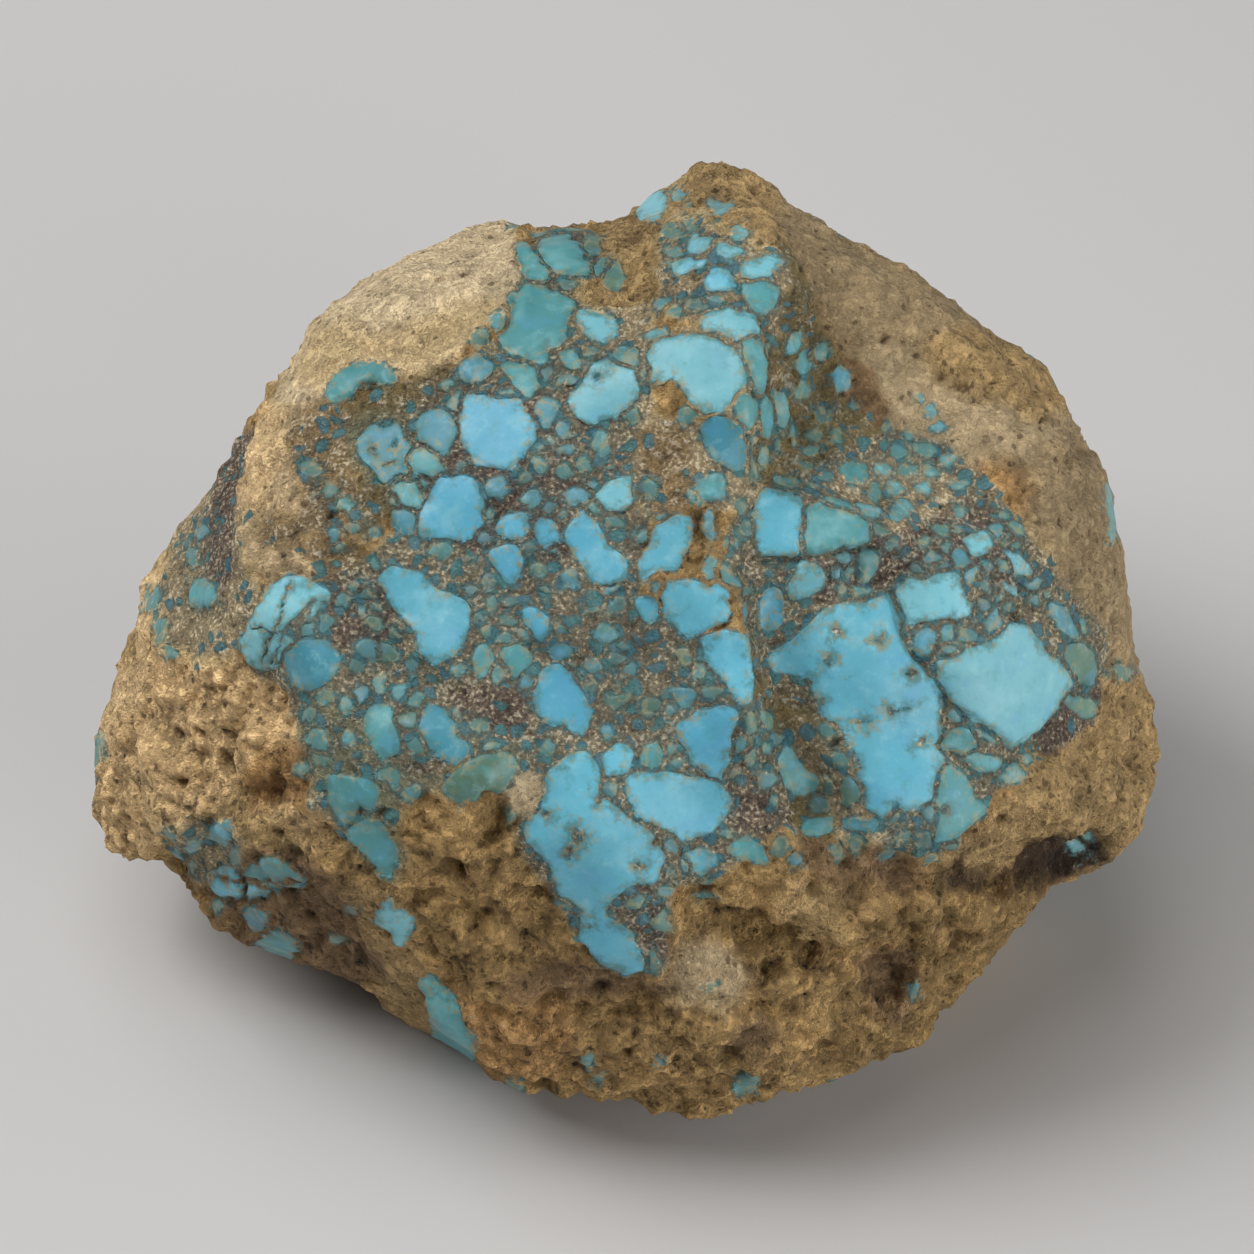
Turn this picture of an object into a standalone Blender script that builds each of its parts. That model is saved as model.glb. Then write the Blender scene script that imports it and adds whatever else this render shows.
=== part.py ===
"""Raw turquoise nugget: one stone with its host rock, lying on the flat break under it.

The stone is drawn in its show frame, in millimetres: "across" runs to the right, "up" runs up the
showing face and "out" runs out of it, towards a viewer VIEW_DISTANCE away. Both halves share one
outline. The front half is the lowest of several broken facets, the back half of several more, and
strokes of relief (ridges, grooves, ledges, lumps and pits) are laid over them, with rough lumps
over it all. The show frame then leans back by SHOW_LEAN, the underside is cut flat, and the stone
is written in metres, +Z up, with its origin at the middle of its base.
"""

from math import cos, radians, sin

import bmesh
import bpy
import numpy as np
from mathutils import Matrix, Vector, noise

MM = 0.001

# Driving dimensions, in millimetres and degrees
SHOW_LEAN = 48.0  # the showing face looks up this far above the horizon
VIEW_DISTANCE = 400.0  # outline and relief are drawn as they look from here
CENTRE_HEIGHT = 21.9  # of the outline's centre above the underside's flat break
FRONT_DEPTH = 25.0
BACK_DEPTH = 30.0
RIM_POWER = 2.5  # 2 is a round rim, more is a squarer one
RIM_WANDER, WANDER_SIZE = 9.0, 22.0  # how far the rim strays out of its plane, and over what length
FACET_BLEND = 1.1  # rounding of the edges between facets

# How the outline's small steps wear away inside the rim: to the mean reach over bearings this far
# to each side, less this much of its deviation, and fully from this share of the depth on
WORN_SPAN, WORN_SAMPLES, WORN_LOSS, WORN_FROM = radians(15.0), 15, 0.6, 0.2
RIM_CLEAR, RIM_RAMP = 0.8, 7.0  # strokes start this high above the rim and are full this much later
RIM_HOLD_IN, RIM_HOLD_OUT = 0.12, 0.55  # share of the depth where dents and where bumps are full
LEAST_SWELL = 0.12  # share of the dome that stays where facets would cut below it

# The mesh: the sphere that it starts from, the cells of its skin and its triangles before it is
# cut flat underneath
SPHERE_CUTS = 7
SKIN_CELL = 0.5
TRIANGLES = 9400

# The outline, anticlockwise from the right: (across, up)
OUTLINE = [
    (33.4, 0.0), (32.8, 3.0), (32.6, 6.0), (32.3, 8.8), (31.7, 11.4), (30.2, 13.6), (28.9, 16.3),
    (27.1, 19.0), (24.3, 20.4), (22.2, 22.0), (19.9, 23.7), (17.7, 25.1), (15.3, 26.4), (13.0, 28.2),
    (10.6, 29.2), (9.0, 31.0), (7.6, 31.6), (5.6, 32.2), (3.4, 31.2), (1.6, 30.0), (0.4, 28.4),
    (-1.2, 27.4), (-3.6, 27.2), (-6.2, 26.9), (-8.2, 28.0), (-10.4, 28.1), (-12.7, 27.0),
    (-15.0, 25.6), (-17.2, 24.3), (-19.4, 22.8), (-21.3, 21.2), (-22.7, 18.9), (-24.0, 16.6),
    (-25.4, 14.4), (-26.6, 12.2), (-28.0, 10.2), (-29.7, 7.9), (-31.4, 5.5), (-32.6, 2.8),
    (-33.4, 0.0), (-34.4, -3.1), (-35.6, -6.2), (-36.0, -9.6), (-35.7, -12.6), (-34.6, -14.2),
    (-33.3, -15.0), (-32.0, -14.6), (-31.0, -14.3), (-29.6, -16.8), (-27.4, -19.3), (-24.5, -20.7),
    (-21.0, -21.9), (-18.0, -22.0), (-16.6, -23.6), (-15.2, -25.5), (-13.0, -27.6), (-10.4, -29.1),
    (-7.8, -30.0), (-5.2, -30.1), (-2.6, -29.9), (0.0, -30.3), (2.4, -31.0), (4.8, -31.6),
    (7.0, -31.5), (8.6, -30.5), (10.8, -29.4), (13.6, -28.3), (16.4, -27.6), (19.0, -26.6),
    (21.0, -24.8), (22.8, -22.4), (24.6, -20.2), (26.2, -18.2), (27.4, -16.6), (29.6, -16.0),
    (32.0, -15.2), (33.8, -13.4), (35.0, -10.8), (35.6, -8.2), (35.4, -5.6), (34.5, -3.0),
    (33.7, -1.2),
]

# Broken facets: (across, up) of a point on it, its height out there, and its rise per millimetre
# across and up. The front half keeps the lowest facet at each point, and so does the back half,
# whose heights are measured inwards, away from the viewer.
FRONT_FACETS = {
    "nodule_face": ((-9.0, 4.0), 22.0, (0.12, -0.03)),
    "right_lobe_face": ((20.0, -4.0), 19.0, (-0.22, 0.04)),
    "crust_shoulder": ((-13.0, 22.0), 13.5, (0.45, -0.90)),
    "left_flank": ((-29.0, -3.0), 11.5, (1.15, 0.10)),
    "lower_front": ((0.0, -23.0), 15.5, (0.22, 0.85)),
    "upper_right_slope": ((21.0, 19.0), 11.0, (-0.50, -0.62)),
    "right_flank": ((32.0, 5.0), 7.0, (-1.50, 0.10)),
    "tan_lobe": ((31.0, -9.0), 10.0, (-0.85, 0.45)),
    "lower_right": ((21.0, -21.0), 9.5, (-0.45, 0.95)),
    "lower_left": ((-18.8, -16.9), 16.0, (1.20, 1.80)),
}
BACK_FACETS = {
    "back": ((2.0, 6.0), 25.0, (-0.20, -0.25)),
    "back_left": ((-22.0, 10.0), 14.0, (0.80, -0.30)),
    "back_right": ((23.0, 2.0), 15.5, (-0.85, -0.10)),
    "back_top_left": ((-8.0, 22.0), 13.0, (0.35, -0.95)),
    "back_top_right": ((14.0, 20.0), 12.0, (-0.60, -0.70)),
    "back_low_left": ((-20.0, -14.0), 17.0, (0.70, 0.45)),
    "back_low_right": ((20.0, -14.0), 17.0, (-0.60, 0.55)),
}

# Strokes of relief on the front: path, rise at its two ends, and its width on the left and the
# right of the way it runs. A negative rise is a groove or a pit, and one point is a lump.
FRONT_STROKES = {
    "top_spur": ([(5.2, 31.9), (8.0, 27.0), (10.4, 22.0), (10.0, 18.6), (8.4, 15.6)],
                 (3.0, 4.0), (2.4, 6.0)),
    "spur_shelf": ([(3.6, 19.4), (7.0, 18.6)], (1.3, 1.6), (2.6, 3.0)),
    "fin": ([(5.7, 9.6), (6.2, 5.0), (7.2, 0.0), (8.0, -4.3)], (1.4, 2.6), (1.5, 4.0)),
    "spur_valley": ([(13.4, 22.0), (14.4, 17.0), (16.0, 11.5), (18.0, 8.0)], (-0.8, -1.2), (3.2, 2.6)),
    "fin_valley": ([(8.6, 8.0), (10.0, 1.0), (9.9, -6.0), (11.6, -11.0)], (-1.6, -1.4), (3.0, 2.0)),
    "upper_right_rib": ([(13.6, 26.0), (21.5, 19.5), (26.4, 14.5), (28.4, 8.0), (31.0, 1.0)],
                        (0.8, 1.4), (3.6, 4.0)),
    "pebble_ledge": ([(8.8, 6.0), (12.7, 5.5), (17.3, 6.5)], (2.0, 1.5), (4.0, 1.0)),
    "lobe_seam": ([(17.6, 3.0), (20.0, -2.0), (21.4, -9.0)], (-0.6, -0.6), (1.4, 1.0)),
    "lobe_block": ([(22.0, -1.0), (27.0, -4.0)], (0.9, 1.2), (3.0, 3.0)),
    "top_notch": ([(-1.4, 27.2), (0.2, 24.5), (0.2, 21.0)], (-3.0, -1.2), (2.6, 2.2)),
    "crust_edge": ([(-7.4, 27.4), (-7.7, 23.0), (-10.0, 19.6), (-15.4, 17.0), (-19.6, 17.8)],
                   (1.7, 1.1), (1.2, 7.0)),
    "left_buttress": ([(-21.6, 17.5), (-23.4, 11.7), (-24.0, 6.3), (-26.7, 0.0)], (1.6, 1.4), (3.6, 2.0)),
    "left_gully": ([(-26.8, 11.5), (-28.2, 6.0), (-30.0, 1.0)], (-1.5, -1.2), (1.8, 1.8)),
    "blue_knob": ([(-22.9, 1.4)], (1.9, 1.9), (2.4, 2.4)),
    "lower_knob": ([(-21.4, -1.6)], (1.2, 1.2), (1.9, 1.9)),
    "left_lobe": ([(-33.0, -4.0), (-33.4, -8.7), (-32.0, -12.6)], (1.4, 2.6), (3.6, 3.6)),
    "lobe_undercut": ([(-30.8, -15.2), (-26.0, -15.8), (-20.5, -18.0)], (-2.0, -1.6), (1.2, 2.6)),
    "corner_rib": ([(-19.6, -15.4), (-17.0, -18.6), (-14.0, -22.4), (-12.4, -26.0)],
                   (1.2, 1.6), (2.6, 1.4)),
    "nodule_crack": ([(-16.8, -1.4), (-11.8, -4.0), (-6.6, -7.0)], (-0.9, -0.9), (1.2, 1.4)),
    "green_bulge": ([(-15.4, -6.0), (-11.0, -9.0)], (0.9, 1.4), (3.2, 2.4)),
    "under_bulge": ([(-17.0, -12.4), (-11.5, -12.0), (-7.6, -10.4)], (-1.2, -1.2), (1.2, 2.0)),
    "brown_lump": ([(-12.4, -14.6), (-9.8, -16.4)], (1.7, 1.7), (3.2, 3.2)),
    "tongue": ([(-3.5, -9.5), (-2.0, -15.5), (0.0, -20.5)], (0.9, 1.1), (2.8, 2.8)),
    "lower_hollow": ([(3.5, -17.5), (7.0, -20.5)], (-1.0, -1.4), (2.4, 2.4)),
    "bottom_lump": ([(4.4, -26.0), (7.4, -26.6)], (2.0, 2.0), (4.0, 4.0)),
    "bottom_left_lump": ([(-9.0, -25.0)], (1.8, 1.8), (4.6, 4.6)),
    "bottom_cleft": ([(-1.6, -30.0), (-0.6, -26.0)], (-1.6, -1.0), (2.0, 2.0)),
    "right_lobe": ([(33.2, -3.6), (32.4, -8.6), (30.0, -12.0)], (1.4, 2.6), (3.6, 3.6)),
    "crevice": ([(16.4, -14.6), (22.0, -15.4), (27.4, -15.0), (31.0, -13.6)], (-1.4, -3.0), (1.2, 2.4)),
    "crevice_lip": ([(17.0, -12.6), (22.5, -12.8), (28.0, -11.6)], (1.0, 1.6), (2.4, 1.4)),
    "lower_right_lump": ([(19.0, -18.6), (23.0, -19.0)], (1.4, 1.4), (2.6, 2.6)),
    "cavity": ([(16.4, -21.0), (17.2, -23.6)], (-3.2, -2.8), (1.6, 1.6)),
    "small_cavity": ([(9.2, -19.6), (10.4, -20.4)], (-1.7, -1.7), (1.6, 1.6)),
}
BACK_STROKES = {
    "spine": ([(-18.0, 16.0), (-7.0, 9.0), (3.0, 4.0), (9.0, -8.0)], (2.4, 2.4), (6.0, 2.6)),
    "upper_hollow": ([(12.0, 18.0), (17.0, 10.0), (16.0, 3.0)], (-2.6, -1.4), (3.6, 5.0)),
    "left_hollow": ([(-25.0, -2.0), (-17.0, -5.0)], (-2.6, -2.0), (3.4, 3.4)),
    "top_knuckle": ([(-3.0, 23.0), (4.0, 22.0)], (2.2, 2.2), (3.4, 3.4)),
    "right_knuckle": ([(27.0, -1.0), (25.0, -8.0)], (2.0, 2.4), (3.6, 3.6)),
    "heel_groove": ([(-10.0, -2.0), (-2.0, -6.0), (4.0, -15.0)], (-1.8, -2.0), (2.0, 2.4)),
}

# Rough lumps over it all: (length, height)
LUMPS = [(13.0, 1.3), (6.0, 0.9), (3.2, 0.5)]
STONE_SEED = Vector((4.2, -7.7, 2.9))


def outline_reach(across, up, inward):
    """Distance from the centre to the outline at each point's bearing. Its small steps die away
    with inward, which runs from 0 at the rim to 1."""
    ring = np.array(OUTLINE)
    bearings = np.unwrap(np.arctan2(ring[:, 1], ring[:, 0]))
    reaches = np.hypot(ring[:, 0], ring[:, 1])
    bearing = np.arctan2(up, across)
    sharp = np.interp(bearing, bearings, reaches, period=2 * np.pi)
    spans = np.linspace(-WORN_SPAN, WORN_SPAN, WORN_SAMPLES)
    nearby = [np.interp(bearing + span, bearings, reaches, period=2 * np.pi) for span in spans]
    worn = np.mean(nearby, axis=0) - WORN_LOSS * np.std(nearby, axis=0)
    return sharp + (worn - sharp) * np.clip(inward / WORN_FROM, 0.0, 1.0)


def lowest_of(facets, across, up, dome):
    """The lowest of the facets and the dome at each point, with rounded edges between them."""
    total = np.exp(-dome / FACET_BLEND)
    for (at_across, at_up), height, (rise_across, rise_up) in facets.values():
        facet = height + rise_across * (across - at_across) + rise_up * (up - at_up)
        total = total + np.exp(-facet / FACET_BLEND)
    return -FACET_BLEND * np.log(total)


def stroke_relief(stroke, across, up):
    """Height that one stroke adds at each point."""
    path, (rise_start, rise_end), (width_left, width_right) = stroke
    points = np.stack([across, up], axis=-1)
    nearest = np.full(across.shape, np.inf)
    relief = np.zeros(across.shape)
    ends = path[1:] if len(path) > 1 else path
    for step, (start, end) in enumerate(zip(path, ends)):
        start, run = np.array(start), np.subtract(end, start)
        length_squared = max(run @ run, 1e-9)
        share = np.clip((points - start) @ run / length_squared, 0.0, 1.0)
        offset = points - start - share[..., None] * run
        distance = np.hypot(offset[..., 0], offset[..., 1])
        turn = (run[0] * offset[..., 1] - run[1] * offset[..., 0]) / np.sqrt(length_squared)
        leftness = 0.5 + 0.5 * turn / np.maximum(distance, 1e-9)
        width = width_right + (width_left - width_right) * leftness
        along = (step + share) / len(ends)
        height = (rise_start + (rise_end - rise_start) * along) * np.exp(-((distance / width) ** 2))
        closer = distance < nearest
        relief = np.where(closer, height, relief)
        nearest = np.minimum(nearest, distance)
    return relief


def rough_stone(points):
    """Height of the rough lumps at each point of the surface."""
    relief = []
    for point in points:
        here = Vector(point)
        relief.append(sum(height * noise.noise(here / size + STONE_SEED) for size, height in LUMPS))
    return np.array(relief)


def half_height(share, depth, facets, strokes, across, up):
    """Height out of the outline's plane of one half, where share runs from 0 at the rim to 1."""
    dome = depth * share
    base = lowest_of(facets, across, up, dome)
    relief = sum(stroke_relief(stroke, across, up) for stroke in strokes.values())
    rim_fade = np.clip((dome - RIM_CLEAR) / RIM_RAMP, 0.0, 1.0)
    return np.maximum(base, LEAST_SWELL * dome) + relief * rim_fade


def move_points(mesh, points):
    """Moves each point of the mesh to its new place."""
    for vertex, point in zip(mesh.verts, points):
        vertex.co = point


def shape_stone(mesh):
    """Moves the points of a unit sphere to the stone's surface, in its show frame."""
    ball = np.array([vertex.co for vertex in mesh.verts])
    flat = np.hypot(ball[:, 0], ball[:, 1])
    spread = flat ** (2.0 / RIM_POWER)
    share = np.abs(ball[:, 2]) ** (2.0 / RIM_POWER)
    reach = outline_reach(ball[:, 0], ball[:, 1], share) * spread / np.maximum(flat, 1e-9)
    across, up = ball[:, 0] * reach, ball[:, 1] * reach
    front = half_height(share, FRONT_DEPTH, FRONT_FACETS, FRONT_STROKES, across, up)
    back = half_height(share, BACK_DEPTH, BACK_FACETS, BACK_STROKES, across, up)
    stray = [noise.noise(Vector((x, y, 0.0)) / WANDER_SIZE + STONE_SEED) for x, y in zip(across, up)]
    out = np.where(ball[:, 2] > 0, front, -back) + RIM_WANDER * np.array(stray) * (1.0 - share) ** 2
    narrowing = 1.0 - out / VIEW_DISTANCE
    surface = np.stack([across * narrowing, up * narrowing, out], axis=-1)
    move_points(mesh, surface)
    mesh.normal_update()
    normals = np.array([vertex.normal for vertex in mesh.verts])
    rough = rough_stone(surface)
    push = normals * rough[:, None]
    hold = np.where(rough > 0, RIM_HOLD_OUT, RIM_HOLD_IN)
    push[:, :2] *= np.clip(share / hold, 0.0, 1.0)[:, None]
    move_points(mesh, surface + push)


def modified(mesh, kind, settings):
    """A new mesh: the given one after one modifier with these settings."""
    holder = bpy.data.objects.new("holder", mesh)
    bpy.context.scene.collection.objects.link(holder)
    modifier = holder.modifiers.new("modifier", kind)
    for name, value in settings.items():
        setattr(modifier, name, value)
    bpy.context.view_layer.update()
    evaluated = holder.evaluated_get(bpy.context.evaluated_depsgraph_get())
    result = bpy.data.meshes.new_from_object(evaluated)
    bpy.data.objects.remove(holder)
    return result


def thin_out(fine):
    """One closed skin over the fine mesh, with triangles thinned to TRIANGLES where it is flat."""
    skin = modified(fine, "REMESH", {"mode": "VOXEL", "voxel_size": SKIN_CELL})
    return modified(skin, "DECIMATE", {"ratio": TRIANGLES / (2 * len(skin.polygons))})


def stand_up(mesh):
    """Leans the show frame back, cuts the underside flat and centres the stone over its base."""
    lean = radians(SHOW_LEAN)
    across, up, out = (1, 0, 0), (0, sin(lean), cos(lean)), (0, -cos(lean), sin(lean))
    turn = Matrix((across, up, out)).transposed().to_4x4()
    place = Matrix.Scale(MM, 4) @ Matrix.Translation((0, 0, CENTRE_HEIGHT)) @ turn
    bmesh.ops.transform(mesh, matrix=place, verts=mesh.verts)
    cut = bmesh.ops.bisect_plane(
        mesh, geom=mesh.verts[:] + mesh.edges[:] + mesh.faces[:],
        plane_co=(0, 0, 0), plane_no=(0, 0, 1), clear_inner=True,
    )
    rim = [edge for edge in cut["geom_cut"] if isinstance(edge, bmesh.types.BMEdge)]
    bmesh.ops.contextual_create(mesh, geom=rim)
    spots = np.array([vertex.co for vertex in mesh.verts])
    middle = (spots.min(axis=0) + spots.max(axis=0)) / 2
    bmesh.ops.translate(mesh, vec=(-middle[0], -middle[1], 0.0), verts=mesh.verts)


def stone_material():
    """Tan host rock, the colour that most of the stone shows."""
    material = bpy.data.materials.new("turquoise_in_host_rock")
    material.use_nodes = True
    shader = material.node_tree.nodes["Principled BSDF"]
    shader.inputs["Base Color"].default_value = (0.30, 0.33, 0.27, 1.0)
    shader.inputs["Roughness"].default_value = 0.7
    return material


def main():
    """Builds the nugget in its own collection."""
    for old in list(bpy.data.objects):
        bpy.data.objects.remove(old)
    group = bpy.data.collections.new("raw_turquoise_nugget")
    bpy.context.scene.collection.children.link(group)
    mesh = bmesh.new()
    bmesh.ops.create_icosphere(mesh, subdivisions=SPHERE_CUTS, radius=1.0)
    shape_stone(mesh)
    stone = bpy.data.meshes.new("nugget")
    mesh.to_mesh(stone)
    stone = thin_out(stone)
    mesh.clear()
    mesh.from_mesh(stone)
    stand_up(mesh)
    mesh.to_mesh(stone)
    mesh.free()
    stone.name = "nugget"
    nugget = bpy.data.objects.new("nugget", stone)
    nugget.data.materials.append(stone_material())
    group.objects.link(nugget)


if __name__ == "__main__":
    main()
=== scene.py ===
"""Dresses the raw turquoise nugget: its broken skin, its cobbles of turquoise and its host rock."""

import logging
import math
from dataclasses import dataclass, field
from enum import Enum

import bmesh
import bpy
import numpy as np
from mathutils import Matrix, Vector, kdtree, noise


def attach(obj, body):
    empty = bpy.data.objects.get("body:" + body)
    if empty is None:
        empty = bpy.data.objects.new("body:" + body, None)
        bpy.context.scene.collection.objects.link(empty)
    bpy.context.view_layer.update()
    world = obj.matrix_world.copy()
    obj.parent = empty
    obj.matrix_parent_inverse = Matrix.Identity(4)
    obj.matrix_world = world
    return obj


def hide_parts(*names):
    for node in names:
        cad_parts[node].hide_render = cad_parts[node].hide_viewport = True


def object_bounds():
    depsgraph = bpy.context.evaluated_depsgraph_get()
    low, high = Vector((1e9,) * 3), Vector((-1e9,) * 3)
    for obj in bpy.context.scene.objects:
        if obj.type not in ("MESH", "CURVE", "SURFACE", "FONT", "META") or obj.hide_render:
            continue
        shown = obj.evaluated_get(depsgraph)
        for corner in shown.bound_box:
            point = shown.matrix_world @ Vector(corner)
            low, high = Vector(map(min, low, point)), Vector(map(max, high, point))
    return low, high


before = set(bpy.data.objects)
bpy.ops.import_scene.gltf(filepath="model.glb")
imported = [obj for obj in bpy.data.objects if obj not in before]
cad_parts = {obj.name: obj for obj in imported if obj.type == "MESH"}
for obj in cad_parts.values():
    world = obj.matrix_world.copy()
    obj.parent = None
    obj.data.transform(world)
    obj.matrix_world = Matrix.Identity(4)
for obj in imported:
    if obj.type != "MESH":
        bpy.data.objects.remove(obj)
SOLID_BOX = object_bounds()

LOG = logging.getLogger("nugget")
MM = 0.001
STONE = "nugget"
FINISH = "turquoise_in_host_rock"
RELIEF_SEED = 7
CRUMB = 0.45
FINE = 1.0


class Tint(Enum):
    """The turquoise's colours, as screen values from 0 to 255; the darkest, slate, is partly painted shade where it
    lies on a shaded flank.
    """

    SKY = (90, 168, 195)
    AQUA = (102, 181, 203)
    PALE = (122, 188, 200)
    TEAL = (88, 154, 158)
    DEEP = (70, 138, 156)
    GREEN = (94, 126, 108)
    SLATE = (60, 86, 96)


class Ground(Enum):
    """The host rock's finishes: colour, then pits, web grain, lumps and small cells, each from 0 to 1. The darkest
    brown is no finish of the rock but painted shade, laid where recesses lie in shadow.
    """

    OCHRE = ((176, 144, 94), 0.35, 0.0, 1.0, 0.0)
    DUN = ((149, 122, 78), 0.5, 0.0, 1.0, 0.0)
    TAN = ((178, 149, 102), 0.95, 0.0, 0.5, 0.0)
    CRUST = ((242, 218, 176), 0.3, 0.0, 0.3, 0.0)
    SLOPE = ((169, 147, 111), 0.3, 0.05, 0.35, 0.0)
    PALE_SLOPE = ((195, 172, 134), 0.2, 0.1, 0.35, 0.0)
    FLANK = ((203, 177, 137), 0.3, 0.1, 0.8, 0.1)
    HONEY = ((240, 206, 154), 0.3, 0.0, 0.6, 0.0)
    SAND = ((227, 199, 150), 0.25, 0.0, 0.35, 0.0)
    GOLD = ((225, 190, 138), 0.5, 0.0, 1.0, 0.0)
    UMBER = ((138, 112, 80), 0.5, 0.05, 0.7, 0.0)
    BRACKEN = ((181, 153, 106), 0.3, 0.6, 0.7, 0.5)
    # Painted shade: the darkest brown, laid where recesses lie in shadow.
    PAINTED_SHADE = ((60, 44, 28), 0.7, 0.1, 0.8, 0.0)
    RUST = ((179, 140, 90), 0.6, 0.1, 0.8, 0.0)
    WEB = ((183, 173, 137), 0.1, 1.0, 0.3, 0.85)
    TAN_WEB = ((246, 222, 169), 0.2, 0.85, 0.5, 0.45)
    PLUM = ((140, 120, 100), 0.2, 1.0, 0.4, 0.4)
    OLIVE = ((134, 119, 79), 0.3, 0.45, 0.6, 0.3)
    SEA = ((144, 144, 114), 0.2, 0.5, 0.5, 0.6)


# The chart is a flat grid over the show face: 15 steps to a millimetre, counted from its upper left corner.
CHART_STEPS = 15.0
CHART_MIDDLE = (630.0, 640.0)

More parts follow.
